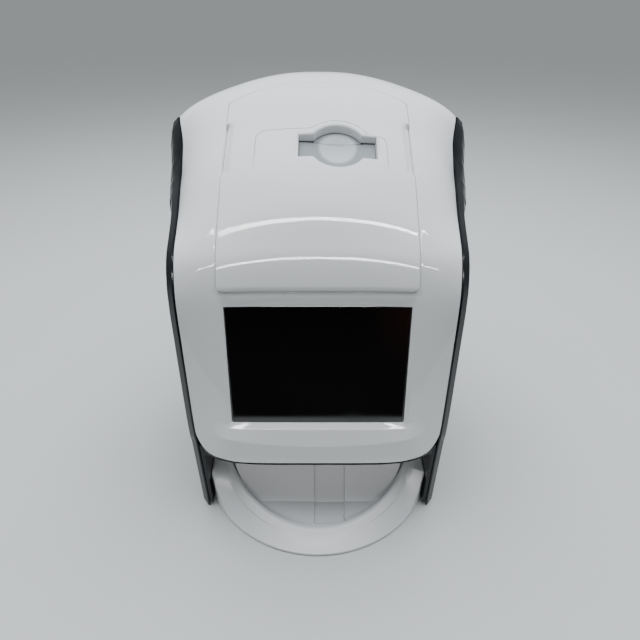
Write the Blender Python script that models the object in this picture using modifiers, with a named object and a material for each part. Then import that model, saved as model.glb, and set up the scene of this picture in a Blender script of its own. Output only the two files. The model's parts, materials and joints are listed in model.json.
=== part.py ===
# Phosphor plate scanner, standing on a table. Metres, X to the right, Y to the back, Z up.
# The origin is on the table, at the middle of the object's outline.
# A white moulded hood spans two dark side panels that reach down as front legs. An exposed plate goes
# in at the slot in the lift-off top cover, runs down a slanting roller path past the scan line, and
# slides out on the round tray at the front.

import math

import bmesh
import bpy
from mathutils import Matrix, Vector

# Overall body
BODY_HEIGHT = 0.2457
HALF_DEPTH = 0.100
FRONT_HALF_WIDTH = 0.072
REAR_HALF_WIDTH = 0.0776
FRONT_EDGE_SHARE = 0.66
SIDE_POWER_SHARE = 1.5
CORNER_FLARE = 0.0062
CORNER_SHARE = 0.735
CORNER_SPREAD_SHARE = 0.15
SEAM_ANGLE = math.radians(45)
CLEARANCE = 0.0003
OVERRUN = 0.004

# Hood moulding
HOOD_WALL = 0.0040
CHIN_RADIUS = 0.011
COVER_HALF_WIDTH = 0.0505
COVER_THICKNESS = 0.0024
COVER_CORNER = 0.0035
COVER_LIFT = 0.0016
COVER_SEAT_INSET = 0.005
COVER_CURL = 0.0013
CURL_LENGTH = 0.0030
NOTCH_WIDTH = 0.0062
NOTCH_DEPTH = 0.0018
NOTCH_RAMP = 0.0030
CHIN_HEIGHT = 0.0016
CHIN_THICKNESS = 0.0026

# Screen in the leaning front face
SCREEN_WIDTH = 0.095
SCREEN_HEIGHT_SHARE = 0.7012
SCREEN_RISE_SHARE = 0.2663
SCREEN_RIM = 0.0022
SCREEN_POCKET_DEPTH = 0.0012
SCREEN_SETBACK = 0.0024
GLASS_THICKNESS = 0.0018
GASKET_THICKNESS = 0.0010
DISPLAY_THICKNESS = 0.0055
DISPLAY_MARGIN = 0.004
DISPLAY_BOARD_THICKNESS = 0.0016

# Slot for the imaging plate
SLOT_OFFSET = 0.0106
SLOT_WIDTH = 0.0415
SLOT_GAP = 0.0158
SCOOP_RADIUS = 0.0150
BEZEL_WALL = 0.0012
BEZEL_DEPTH = 0.0088
BEZEL_DROP = 0.0016
SHUTTER_DEPTH = 0.0052
SHUTTER_THICKNESS = 0.0016
SHUTTER_PIN_RADIUS = 0.0009
SHUTTER_SWING = math.radians(38)
BOWL_RADIUS = 0.0115
BOWL_SINK = 0.0022

# Side panels
PANEL_THICKNESS = 0.0044
PANEL_BAND = 0.0030
PANEL_LAND = 0.0009
PANEL_FOOT_GAP = 0.0008
LEG_SETBACK = 0.0010
PANEL_SWELL = 0.0050
SWELL_DROP = 0.011
SWELL_START_SHARE = 0.20
SWELL_RISE_SHARE = 0.37
SWELL_END_SHARE = 0.50
GRIP_LENGTH = 0.052
GRIP_HEIGHT = 0.011
GRIP_TILT = math.radians(23)
GRIP_DROP = 0.0115
GRIP_RUN_SHARE = 0.30
GRIP_DEPTH = 0.0012
GRIP_PAD_THICKNESS = 0.0026

# Rear cover
REAR_WALL = 0.0028
VENT_LENGTH = 0.034
VENT_HEIGHT = 0.0026
VENT_PITCH = 0.0068
VENT_COUNT = 8
VENT_DROP = 0.020
SOCKET_SILL = 0.016

# Base, feet and bay
BASE_THICKNESS = 0.0026
FOOT_HEIGHT = 0.0005
FOOT_RADIUS = 0.007
FOOT_INSET = 0.020
BAY_WALL = 0.0022
BAY_LENGTH = 0.042
BAY_SETBACK = 0.0015
BAY_SHOULDER = 0.0030
BASE_SETBACK = 0.0110
FOOT_ACROSS = 0.052

# Output tray
TRAY_RADIUS = 0.0793
TRAY_REACH = 0.1003
TRAY_RIM_WIDTH = 0.0151
TRAY_FLOOR = 0.0066
TRAY_EDGE = 0.0030
TRAY_RIM_FRONT = 0.0080
TRAY_RIM_SLOPE = 0.50
TRAY_SHOULDER = 0.026
BAY_DEPTH = 0.0185
TRAY_WALL = 0.0024
TRAY_TOP = 0.034
RAMP_LEAN = math.radians(40)
RAMP_RUN = 0.020
GROOVE_WIDTH = 0.0200
GROOVE_OFFSET = 0.0077
GROOVE_DEPTH = 0.0018
EXIT_WALL = 0.0016
MOUTH_HEIGHT = 0.026
MOUTH_SHARE = 0.643

# Transport path
PATH_LEAN = math.radians(13)
PATH_TOP = 0.012
PATH_LENGTH = 0.142
PATH_GAP = 0.0024
GUIDE_WIDTH = 0.048
GUIDE_THICKNESS = 0.0012
CHASSIS_HALF_WIDTH = 0.030
CHASSIS_THICKNESS = 0.0020
CHASSIS_DEPTH = 0.030
ROLLER_RADIUS = 0.0065
PINCH_RADIUS = 0.0050
SHAFT_RADIUS = 0.0020
ROLLER_WIDTH = 0.036
ROLLER_PITCH = 0.040
ROLLER_COUNT = 3
ROLLER_START = 0.032
GUIDE_TOP = 0.0215
EXIT_LENGTH = 0.020
SLIT_HEIGHT = 0.0030
TIE_RADIUS = 0.0025
TIE_ACROSS = 0.0150
TIE_DOWN = 0.0510
TIE_LOWER_DOWN = 0.0780
GEAR_TEETH = 20
PINION_TEETH = 12
GEAR_WIDTH = 0.0040
MOTOR_RADIUS = 0.0120
MOTOR_LENGTH = 0.010
MOTOR_SHAFT_RADIUS = 0.0012

# Optics behind the path
SHELF_THICKNESS = 0.0025
SHELF_LENGTH = 0.042
SHELF_START = 0.030
MIRROR_OFFSET = 0.0080
POLYGON_RADIUS = 0.0130
POLYGON_THICKNESS = 0.0060
POLYGON_SIDES = 6
SCAN_MOTOR_RADIUS = 0.0150
SCAN_MOTOR_HEIGHT = 0.0100
LASER_LENGTH = 0.030
LASER_SIZE = 0.014
TUBE_RADIUS = 0.0120
COLLECTOR_LENGTH = 0.036
COLLECTOR_HEIGHT = 0.008
ERASER_HEIGHT = 0.012

# Electronics and rear controls
BOARD_THICKNESS = 0.0016
BOARD_WIDTH = 0.084
BOARD_HEIGHT = 0.070
BOARD_SETBACK = 0.022
SOCKET_SIZE = 0.0150
FITTING_DEPTH = 0.0140
FITTING_PROUD = 0.0003
SOCKET_PLACE = 0.0200
INLET_SIZE = 0.0100
INLET_BORE = 0.0031
INLET_PIN = 0.0011
ROCKER_WIDTH = 0.0190
ROCKER_HEIGHT = 0.0120
ROCKER_WALL = 0.0014
ROCKER_PLACE = -0.0210
ROCKER_DEPTH = 0.010
ROCKER_TILT = math.radians(8)

# Centre line of the hood from the chin up over the crest to the rear seam: shares of the half depth
# and of the body height. The side edge beside it: shares of the side's whole run and of the height.
CENTRE_SHARES = [
    (-0.800, 0.2523), (-0.769, 0.3089), (-0.719, 0.3989), (-0.643, 0.5373), (-0.584, 0.6431),
    (-0.530, 0.7146), (-0.470, 0.7570), (-0.365, 0.8099), (-0.220, 0.8571), (-0.066, 0.8934),
    (0.090, 0.9251), (0.275, 0.9605), (0.480, 0.9856), (0.660, 1.0000), (0.820, 0.9912),
    (0.940, 0.9538), (0.990, 0.8913), (0.998, 0.7936),
]
EDGE_SHARES = [
    (0.0000, 0.2523), (0.0020, 0.3089), (0.0154, 0.3989), (0.0388, 0.5291), (0.0603, 0.6329),
    (0.0971, 0.6899), (0.1507, 0.7269), (0.2343, 0.7505), (0.3281, 0.7717), (0.4218, 0.7969),
    (0.5156, 0.8245), (0.6026, 0.8750), (0.6836, 0.9194), (0.7807, 0.9036), (0.8624, 0.8852),
    (0.9267, 0.8588), (0.9736, 0.8262), (1.0000, 0.7936),
]
# Share of the drop to the side edge that is a plain arch; the rest is a tight shoulder at the edge.
SHOULDER_SHARES = [1.0] * 7 + [0.85, 0.62, 0.52, 0.52, 0.62, 0.74, 0.80, 0.85, 0.90, 1.0, 1.0]
SHOULDER_POWER_SHARE = 10.0
# How flat the middle of the hood stays across its width: a high power falls off only near the edge.
CROWN_SHARES = [6.0, 6.0, 5.5, 5.0, 4.0, 3.0, 2.4, 2.1, 2.0, 2.0, 2.0, 2.2, 2.4, 2.5, 2.5, 2.4, 2.3, 2.2]
COVER_START = 4.25
COVER_END = 12.1
COVER_END_CURVE = 0.75
NOTCH_START = 8.4
NOTCH_END = 10.4
SLOT_STATION = 9.15
HOOD_STATIONS = (
    [0.0, 0.06, 0.17, 0.35, 0.55, 0.79, 1.3, 2.0, 3.0, 3.7, 4.25, 4.6, 5.0, 5.35, 5.7, 6.1, 6.6, 7.2, 8.0]
    + [8.8, 9.6, 10.4, 11.2, 12.0, 12.7, 13.3, 13.9, 14.5, 15.0, 15.5, 16.0, 16.5, 17.0]
)
HOOD_COLUMN_SHARES = [0.0, 0.22, 0.44, 0.62, 0.76, 0.87, 0.94, 1.0]


def clear_scene():
    for obj in list(bpy.data.objects):
        bpy.data.objects.remove(obj, do_unlink=True)


def make_collection(name):
    collection = bpy.data.collections.new(name)
    bpy.context.scene.collection.children.link(collection)
    return collection


def make_material(name, colour, roughness, metallic=0.0):
    material = bpy.data.materials.new(name)
    material.use_nodes = True
    shader = material.node_tree.nodes["Principled BSDF"]
    shader.inputs["Base Color"].default_value = (*colour, 1.0)
    shader.inputs["Roughness"].default_value = roughness
    shader.inputs["Metallic"].default_value = metallic
    return material


clear_scene()
PARTS = make_collection("phosphor_plate_scanner")
CUTTERS = make_collection("cutters")

WHITE = make_material("white_gloss_plastic", (0.80, 0.81, 0.82), 0.18)
LIGHT_GREY = make_material("light_grey_plastic", (0.55, 0.56, 0.57), 0.35)
BLACK = make_material("black_gloss_plastic", (0.012, 0.013, 0.016), 0.12)
DARK = make_material("dark_satin_plastic", (0.03, 0.03, 0.033), 0.45)
GLASS = make_material("screen_glass", (0.004, 0.004, 0.005), 0.05)
RUBBER = make_material("black_rubber", (0.02, 0.02, 0.02), 0.8)
STEEL = make_material("steel", (0.55, 0.56, 0.58), 0.3, 1.0)
ACETAL = make_material("acetal", (0.75, 0.74, 0.70), 0.4)
MIRROR = make_material("mirror_aluminium", (0.85, 0.86, 0.88), 0.05, 1.0)
BOARD = make_material("circuit_board", (0.02, 0.12, 0.05), 0.4)
CLEAR = make_material("light_guide", (0.6, 0.7, 0.85), 0.05)


def link(obj, material=None, parent=None):
    """Put a new object in the parts collection, or with the cutters when it has no material."""
    if material:
        PARTS.objects.link(obj)
        obj.data.materials.append(material)
    else:
        CUTTERS.objects.link(obj)
        obj.hide_render = True
        obj.display_type = "WIRE"
    if parent:
        obj.parent = parent
    return obj


def object_from(bm, name, material=None, parent=None, smooth_angle=None):
    bmesh.ops.recalc_face_normals(bm, faces=bm.faces)
    mesh = bpy.data.meshes.new(name)
    bm.to_mesh(mesh)
    bm.free()
    obj = link(bpy.data.objects.new(name, mesh), material, parent)
    if smooth_angle:
        mesh.shade_smooth()
        mesh.set_sharp_from_angle(angle=smooth_angle)
    return obj


SMOOTH = math.radians(35)


def box(name, size, centre, material=None, parent=None, bevel=0.0):
    bm = bmesh.new()
    bmesh.ops.create_cube(bm, size=1.0)
    bmesh.ops.scale(bm, vec=size, verts=bm.verts)
    obj = object_from(bm, name, material, parent)
    obj.location = centre
    if bevel:
        rounding = obj.modifiers.new("rounded_edges", "BEVEL")
        rounding.width = bevel
        rounding.segments = 2
    return obj


AXIS_TURNS = {"X": Matrix.Rotation(math.radians(90), 3, "Y"), "Y": Matrix.Rotation(math.radians(-90), 3, "X")}


def rod(name, radius, length, centre, axis="X", material=None, parent=None, sides=24):
    bm = bmesh.new()
    bmesh.ops.create_cone(bm, cap_ends=True, segments=sides, radius1=radius, radius2=radius, depth=length)
    if axis in AXIS_TURNS:
        bmesh.ops.rotate(bm, matrix=AXIS_TURNS[axis], verts=bm.verts)
    obj = object_from(bm, name, material, parent, SMOOTH)
    obj.location = centre
    return obj


def plate(name, outline, thickness, axis, place, material=None, parent=None):
    """Flat plate from a 2D outline. Along X the outline is (y, z), along Y (x, z), along Z (x, y)."""
    bm = bmesh.new()
    half = thickness / 2
    places = {
        "X": lambda a, b: (-half, a, b),
        "Y": lambda a, b: (a, -half, b),
        "Z": lambda a, b: (a, b, -half),
    }[axis]
    directions = {"X": (thickness, 0, 0), "Y": (0, thickness, 0), "Z": (0, 0, thickness)}[axis]
    face = bm.faces.new([bm.verts.new(places(a, b)) for a, b in outline])
    grown = bmesh.ops.extrude_face_region(bm, geom=[face])
    raised = [item for item in grown["geom"] if isinstance(item, bmesh.types.BMVert)]
    bmesh.ops.translate(bm, vec=directions, verts=raised)
    obj = object_from(bm, name, material, parent, SMOOTH)
    obj.location = place
    return obj


def combine(obj, other, operation="DIFFERENCE"):
    """Live Boolean on obj. The other object joins the cutters and takes no part in the model."""
    if other.name in PARTS.objects:
        PARTS.objects.unlink(other)
        CUTTERS.objects.link(other)
    other.hide_render = True
    other.display_type = "WIRE"
    modifier = obj.modifiers.new(other.name, "BOOLEAN")
    modifier.operation = operation
    modifier.object = other
    modifier.solver = "EXACT"


def rounded_rectangle(width, height, radius, steps=4):
    points = []
    for quarter, (sx, sy) in enumerate([(1, 1), (-1, 1), (-1, -1), (1, -1)]):
        for step in range(steps + 1):
            angle = math.radians(90) * (quarter + step / steps)
            x = sx * (width / 2 - radius) + radius * math.cos(angle)
            y = sy * (height / 2 - radius) + radius * math.sin(angle)
            points.append((x, y))
    return points


# Body surface

ARC_LENGTH = REAR_HALF_WIDTH * SEAM_ANGLE
ARC_CENTRE = HALF_DEPTH - REAR_HALF_WIDTH
FRONT_EDGE = -HALF_DEPTH * FRONT_EDGE_SHARE
SIDE_LENGTH = ARC_CENTRE - FRONT_EDGE
SIDE_RUN = SIDE_LENGTH + ARC_LENGTH

# The tray bay between the front legs, set back from the front edge
BAY_FRONT = -FRONT_EDGE - BAY_SETBACK
BASE_FRONT = BAY_FRONT - BASE_SETBACK
TRAY_BACK = BAY_FRONT - BAY_DEPTH
RAMP_FOOT = TRAY_BACK + RAMP_RUN
TRAY_HALF_WIDTH = FRONT_HALF_WIDTH - BAY_WALL - CLEARANCE
TRAY_CENTRE = TRAY_REACH - TRAY_RADIUS
DISH_RADIUS = TRAY_RADIUS - TRAY_RIM_WIDTH


def blend_through(values, place):
    """Catmull-Rom curve through a row of values; place counts from 0 to the last of them."""
    last = len(values) - 1
    index = min(int(place), last - 1)
    t = place - index
    before = values[max(index - 1, 0)]
    start, end = values[index], values[index + 1]
    after = values[min(index + 2, last)]
    slope_in = (end - before) / 2
    slope_out = (after - start) / 2
    square, cube = t * t, t * t * t
    return (
        start * (2 * cube - 3 * square + 1)
        + slope_in * (cube - 2 * square + t)
        + end * (3 * square - 2 * cube)
        + slope_out * (cube - square)
    )


def smooth_step(share):
    share = min(max(share, 0.0), 1.0)
    return share * share * (3 - 2 * share)


def side_plan(run):
    """Point and outward direction of the right side's plan outline, at a run from the front edge."""
    corner = CORNER_FLARE * smooth_step(1.0 - abs(run / SIDE_RUN - CORNER_SHARE) / CORNER_SPREAD_SHARE)
    if run <= SIDE_LENGTH:
        widening = smooth_step(run / SIDE_LENGTH) ** SIDE_POWER_SHARE
        x = FRONT_HALF_WIDTH + (REAR_HALF_WIDTH - FRONT_HALF_WIDTH) * widening
        return x + corner, FRONT_EDGE + run, 0.0
    angle = (run - SIDE_LENGTH) / REAR_HALF_WIDTH
    radius = REAR_HALF_WIDTH + corner
    return radius * math.cos(angle), ARC_CENTRE + radius * math.sin(angle), angle


def centre_point(station):
    y = blend_through([row[0] for row in CENTRE_SHARES], station) * HALF_DEPTH
    z = blend_through([row[1] for row in CENTRE_SHARES], station) * BODY_HEIGHT
    return y, z


def edge_point(station):
    run = blend_through([row[0] for row in EDGE_SHARES], station) * SIDE_RUN
    z = blend_through([row[1] for row in EDGE_SHARES], station) * BODY_HEIGHT
    return max(run, 0.0), z


def hood_point(station, x):
    """Point of the hood's outer surface beside the centre line, at a distance x from it."""
    y, z = centre_point(station)
    run, edge_z = edge_point(station)
    edge_x, edge_y, _ = side_plan(run)
    reach = min(abs(x) / edge_x, 1.0)
    fall = reach ** blend_through(CROWN_SHARES, station)
    arch = blend_through(SHOULDER_SHARES, station)
    drop = arch * fall + (1.0 - arch) * reach**SHOULDER_POWER_SHARE
    return Vector((x, y + (edge_y - y) * fall, z + (edge_z - z) * drop))


STEP_SHARE = 0.01


def hood_normal(station, x):
    low, high = max(station - STEP_SHARE, 0.0), min(station + STEP_SHARE, len(CENTRE_SHARES) - 1)
    along = hood_point(high, x) - hood_point(low, x)
    half = STEP_SHARE * FRONT_HALF_WIDTH
    across = hood_point(station, x + half) - hood_point(station, x - half)
    return across.cross(along).normalized()


def hood_half_width(station):
    """Half width of the hood: the side's plan outline, drawn in round the two chin corners."""
    run, z = edge_point(station)
    full = side_plan(run)[0]
    rise = z - edge_point(0.0)[1]
    if rise >= CHIN_RADIUS:
        return full
    return full - CHIN_RADIUS + math.sqrt(max(CHIN_RADIUS**2 - (CHIN_RADIUS - rise) ** 2, 0.0))


def skin(name, stations, columns, thickness, lift, material=None, offset=-1.0):
    """Patch of the hood's surface as an open sheet with a Solidify wall.

    columns gives the distances across at a station, and lift the height over the surface.
    """
    bm = bmesh.new()
    rows = []
    for station in stations:
        row = []
        for place, x in columns(station):
            point = hood_point(place, x) + hood_normal(place, x) * lift(place)
            row.append(bm.verts.new(point))
        rows.append(row)
    for lower, upper in zip(rows, rows[1:]):
        for index in range(len(lower) - 1):
            bm.faces.new((lower[index], lower[index + 1], upper[index + 1], upper[index]))
    mesh = bpy.data.meshes.new(name)
    bm.to_mesh(mesh)
    bm.free()
    mesh.shade_smooth()
    obj = link(bpy.data.objects.new(name, mesh), material)
    wall = obj.modifiers.new("wall", "SOLIDIFY")
    wall.thickness = thickness
    wall.offset = offset
    wall.use_even_offset = True
    return obj


def mirrored(shares):
    return [-share for share in reversed(shares) if share] + list(shares)


def hood_columns(station):
    half = hood_half_width(station)
    return [(station, share * half) for share in mirrored(HOOD_COLUMN_SHARES)]


COVER_COLUMN_SHARES = [0.0, 0.25, 0.5, 0.75, 1.0]
COVER_ROW_SHARES = [0.0, 0.004, 0.010, 0.020, 0.040] + [0.08 + 0.92 * row / 16 for row in range(17)]


def station_length(station):
    """Distance over the hood's middle from one station to the next."""
    return (hood_point(station + 0.5, 0.0) - hood_point(station - 0.5, 0.0)).length


def round_fall(place, radius):
    """How far a round corner has fallen away from the straight line, at a place before its end."""
    share = 1.0 - min(max(place / radius, 0.0), 1.0)
    return 1.0 - math.sqrt(1.0 - share * share)


def cover_patch(name, half_width, inset, thickness, lift, material=None, offset=-1.0):
    """Patch of the cover's outline: straight sides, round lower corners, and a top edge that curves back."""
    step = inset / station_length(COVER_START)

    def columns(fraction):
        row = []
        for share in mirrored(COVER_COLUMN_SHARES):
            top = COVER_END - COVER_END_CURVE * share * share - step
            start = COVER_START + step
            station = start + (top - start) * fraction
            corner = COVER_CORNER * round_fall((station - start) * station_length(COVER_START), COVER_CORNER)
            row.append((station, share * (half_width - corner)))
        return row

    return skin(name, COVER_ROW_SHARES, columns, thickness, lift, material, offset)


def cover_lift(station):
    """The cover stands proud at its lower front edge, which curls under, and comes flush further up."""
    fade = max(0.0, 1.0 - (station - COVER_START) / 3.0)
    curl = COVER_CURL * round_fall((station - COVER_START) * station_length(COVER_START), CURL_LENGTH)
    return COVER_LIFT * fade * fade + CLEARANCE - curl


def notch(name, side):
    """Cutter of a finger notch: a slanting facet along the cover's side edge, with a ramp at each end."""
    ramp = NOTCH_RAMP / station_length(NOTCH_START)
    middle = (NOTCH_START + NOTCH_END) / 2
    slope = NOTCH_DEPTH / NOTCH_WIDTH
    bm = bmesh.new()
    sections = []
    for station, sink in (
        (NOTCH_START - ramp, 0.0), (NOTCH_START, 1.0), (middle, 1.0), (NOTCH_END, 1.0), (NOTCH_END + ramp, 0.0),
    ):
        x = side * COVER_HALF_WIDTH
        edge = hood_point(station, x)
        inward = (hood_point(station, x - side * NOTCH_WIDTH) - edge).normalized()
        normal = hood_normal(station, x)
        rise = normal * (cover_lift(station) + (1.0 - sink) * (NOTCH_DEPTH + CLEARANCE))
        sections.append([
            bm.verts.new(edge - inward * OVERRUN + rise - normal * slope * (NOTCH_WIDTH + OVERRUN)),
            bm.verts.new(edge + inward * (NOTCH_WIDTH + OVERRUN) + rise + normal * slope * OVERRUN),
            bm.verts.new(edge + inward * NOTCH_WIDTH + rise + normal * OVERRUN),
            bm.verts.new(edge - inward * OVERRUN + rise + normal * OVERRUN),
        ])
    for first, second in zip(sections, sections[1:]):
        for index in range(4):
            other = (index + 1) % 4
            bm.faces.new((first[index], first[other], second[other], second[index]))
    bm.faces.new(sections[0])
    bm.faces.new(reversed(sections[-1]))
    return object_from(bm, name)


# The leaning front face: a frame with its origin on the chin's centre, X right, Y inward, Z up the face.
chin_y, chin_z = centre_point(0.0)
brow_y, brow_z = centre_point(4.0)
FACE_LEAN = math.atan2(brow_y - chin_y, brow_z - chin_z)
FACE_LENGTH = math.hypot(brow_y - chin_y, brow_z - chin_z)
SCREEN_HEIGHT = FACE_LENGTH * SCREEN_HEIGHT_SHARE
SCREEN_RISE = FACE_LENGTH * SCREEN_RISE_SHARE
face_frame = bpy.data.objects.new("front_face_frame", None)
PARTS.objects.link(face_frame)
face_frame.location = (0, chin_y, chin_z)
face_frame.rotation_euler = (-FACE_LEAN, 0, 0)

# The slot frame: origin on the surface at the slot, Z along the surface's outward normal.
slot_point = hood_point(SLOT_STATION, SLOT_OFFSET)
slot_normal = hood_normal(SLOT_STATION, SLOT_OFFSET)
SLOT_TILT = math.atan2(-slot_normal.y, slot_normal.z)
SLOT_TURN = Matrix.Rotation(SLOT_TILT, 4, "X") @ Matrix.Rotation(math.asin(slot_normal.x), 4, "Y")
slot_frame = bpy.data.objects.new("slot_frame", None)
PARTS.objects.link(slot_frame)
slot_frame.location = slot_point
slot_frame.rotation_mode = "QUATERNION"
slot_frame.rotation_quaternion = SLOT_TURN.to_quaternion()

# The transport frame: origin at the slot, Z up along the plate's path, Y to the back.
path_frame = bpy.data.objects.new("transport_frame", None)
PARTS.objects.link(path_frame)
path_frame.location = slot_point
path_frame.rotation_euler = (-PATH_LEAN, 0, 0)
PATH_MATRIX = Matrix.Translation(slot_point) @ Matrix.Rotation(-PATH_LEAN, 4, "X")


def path_world(x, across, down):
    """World point beside the plate's path: across it to the back, and down it from the slot."""
    return PATH_MATRIX @ Vector((x, across, -down))


def build_hood():
    hood = skin("hood_shell", HOOD_STATIONS, hood_columns, HOOD_WALL, lambda station: 0.0, WHITE)
    seat = cover_patch(
        "cover_seat", COVER_HALF_WIDTH + CLEARANCE, -CLEARANCE, 2 * (COVER_THICKNESS + CLEARANCE), lambda s: 0.0, None,
        0.0,
    )
    combine(hood, seat)
    opening = cover_patch(
        "cover_opening", COVER_HALF_WIDTH - COVER_SEAT_INSET, COVER_SEAT_INSET, 4 * HOOD_WALL,
        lambda s: 0.0, None, 0.0,
    )
    combine(hood, opening)
    pocket_low = SCREEN_RISE - SCREEN_RIM
    pocket_high = FACE_LENGTH + OVERRUN
    pocket = box(
        "screen_pocket",
        (2 * COVER_HALF_WIDTH, 2 * SCREEN_POCKET_DEPTH, pocket_high - pocket_low),
        (0, 0, (pocket_low + pocket_high) / 2),
        parent=face_frame,
    )
    combine(hood, pocket)
    window = box(
        "screen_window",
        (SCREEN_WIDTH + 2 * CLEARANCE, 6 * HOOD_WALL, SCREEN_HEIGHT + 2 * CLEARANCE),
        (0, 0, SCREEN_RISE + SCREEN_HEIGHT / 2),
        parent=face_frame,
    )
    combine(hood, window)
    return hood


def build_cover():
    cover = cover_patch(
        "top_cover", COVER_HALF_WIDTH, 0.0, COVER_THICKNESS, cover_lift, WHITE
    )
    combine(cover, slot_shape("cover_slot", 0.0, 6 * HOOD_WALL, 0.0))
    for side in (-1, 1):
        combine(cover, notch(f"finger_notch_{side}", side))
    return cover


def slot_outline(grow):
    """Rectangle with a round finger scoop through its middle, seen along the slot's normal."""
    radius = SCOOP_RADIUS + grow
    half_x = SLOT_WIDTH / 2 + grow
    half_y = SLOT_GAP / 2 + grow
    start = math.asin(half_y / radius)
    steps = 10
    points = []
    for side in (1, -1):
        points.append((side * half_x, -side * half_y))
        points.append((side * half_x, side * half_y))
        for step in range(steps + 1):
            angle = start + (math.pi - 2 * start) * step / steps
            points.append((side * radius * math.cos(angle), side * radius * math.sin(angle)))
    return points


def slot_shape(name, grow, depth, centre, material=None):
    return plate(name, slot_outline(grow), depth, "Z", (0, 0, centre), material, slot_frame)


def build_slot():
    top = -COVER_THICKNESS - BEZEL_DROP
    bezel = slot_shape("entry_bezel", BEZEL_WALL, BEZEL_DEPTH + top, (top - BEZEL_DEPTH) / 2, WHITE)
    flange = box(
        "bezel_flange",
        (2 * (CHASSIS_HALF_WIDTH - CHASSIS_THICKNESS / 2 - CLEARANCE), 2 * SCOOP_RADIUS + 2 * BEZEL_WALL, BEZEL_WALL),
        (0, 0, -BEZEL_DEPTH + BEZEL_WALL / 2),
        parent=slot_frame,
    )
    combine(bezel, flange, "UNION")
    combine(bezel, slot_shape("bezel_bore", 0.0, 4 * BEZEL_DEPTH, 0.0))
    hinge_y = SLOT_GAP / 2 - 2 * CLEARANCE - SHUTTER_PIN_RADIUS
    hinge = bpy.data.objects.new("shutter_hinge", None)
    PARTS.objects.link(hinge)
    hinge.parent = slot_frame
    hinge.location = (0, hinge_y, -SHUTTER_DEPTH - SHUTTER_PIN_RADIUS)
    outline = [(x, y - hinge_y) for x, y in slot_outline(-CLEARANCE)]
    shutter = plate("entry_shutter", outline, SHUTTER_THICKNESS, "Z", (0, 0, 0), LIGHT_GREY, hinge)
    boss_depth = SHUTTER_THICKNESS / 2 + BOWL_SINK
    boss_place = (0, -hinge_y, -boss_depth / 2)
    combine(shutter, rod("bowl_boss", BOWL_RADIUS, boss_depth, boss_place, "Z", None, hinge, 32), "UNION")
    trim_size = (2 * SLOT_WIDTH, 4 * SCOOP_RADIUS, 8 * BOWL_SINK)
    combine(shutter, box("shutter_rear_trim", trim_size, (0, 2 * SCOOP_RADIUS, 0), parent=hinge))
    scoop_radius = SCOOP_RADIUS - CLEARANCE
    pin_length = SLOT_WIDTH + BEZEL_WALL
    pin_start = math.sqrt(scoop_radius**2 - hinge_y**2) + CLEARANCE
    for side in (-1, 1):
        pin = rod(
            f"shutter_pin_{side}", SHUTTER_PIN_RADIUS, pin_length / 2 - pin_start,
            (side * (pin_length / 2 + pin_start) / 2, 0, 0), "X", None, hinge, 12,
        )
        combine(shutter, pin, "UNION")
    scoop = rod(
        "scoop_floor", scoop_radius, SHUTTER_THICKNESS / 2 + boss_depth,
        (0, -hinge_y, (SHUTTER_THICKNESS / 2 - boss_depth) / 2), "Z", LIGHT_GREY, hinge, 40,
    )
    # The fixed floor clears the shutter at rest and, below the hinge line, all through its swing.
    for name, turn in (("scoop_front_trim", 0.0), ("scoop_swing_trim", SHUTTER_SWING)):
        reach = 2 * SCOOP_RADIUS - CLEARANCE
        place = (0, -reach * math.cos(turn), -reach * math.sin(turn))
        front = box(name, trim_size, place, parent=hinge)
        front.rotation_euler = (turn, 0, 0)
        combine(scoop, front)
    ball_radius = (BOWL_RADIUS**2 + BOWL_SINK**2) / (2 * BOWL_SINK)
    ball = bmesh.new()
    bmesh.ops.create_uvsphere(ball, u_segments=40, v_segments=32, radius=ball_radius)
    bowl = object_from(ball, "finger_bowl", None, hinge)
    bowl.location = (0, -hinge_y, SHUTTER_THICKNESS / 2 + ball_radius - BOWL_SINK)
    combine(shutter, bowl)
    combine(scoop, bowl)
    bores = rod(
        "shutter_pin_bore", SHUTTER_PIN_RADIUS + CLEARANCE, pin_length + CLEARANCE, (0, 0, 0), "X", None,
        hinge, 12,
    )
    combine(bezel, bores)
    return bezel, shutter


def build_chin():
    """Dark strip that follows the hood's lower edge and its round corners from panel to panel."""
    stations = [0.26, 0.17, 0.06, 0.0]
    shares = [0.94, 0.8, 0.6, 0.4, 0.2, 0.0]
    path = [(station, hood_half_width(station)) for station in stations]
    path += [(0.0, share * hood_half_width(0.0)) for share in shares]
    path = path + [(station, -x) for station, x in reversed(path[:-1])]
    bm = bmesh.new()
    sections = []
    for index, (station, x) in enumerate(path):
        before = path[max(index - 1, 0)]
        after = path[min(index + 1, len(path) - 1)]
        along = (hood_point(*after) - hood_point(*before)).normalized()
        inward = -hood_normal(station, min(abs(x), 0.9 * FRONT_HALF_WIDTH) * (1 if x > 0 else -1))
        outward = along.cross(inward).normalized()
        if outward.z > 0:
            outward = -outward
        near = hood_point(station, x) + outward * CLEARANCE + inward * CLEARANCE
        sections.append(
            [
                bm.verts.new(near),
                bm.verts.new(near + outward * CHIN_HEIGHT),
                bm.verts.new(near + outward * CHIN_HEIGHT + inward * CHIN_THICKNESS),
                bm.verts.new(near + inward * CHIN_THICKNESS),
            ]
        )
    for first, second in zip(sections, sections[1:]):
        for side in range(4):
            other = (side + 1) % 4
            bm.faces.new((first[side], first[other], second[other], second[side]))
    bm.faces.new(sections[0])
    bm.faces.new(reversed(sections[-1]))
    return object_from(bm, "chin_strip", BLACK)


def seam_height(run):
    """Height of the hood's side edge over a run, between the stations of the hood."""
    points = [edge_point(station) for station in HOOD_STATIONS]
    for (start, low), (end, high) in zip(points, points[1:]):
        if run <= end:
            return low + (high - low) * max(run - start, 0.0) / max(end - start, CLEARANCE)
    return points[-1][1]


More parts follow.
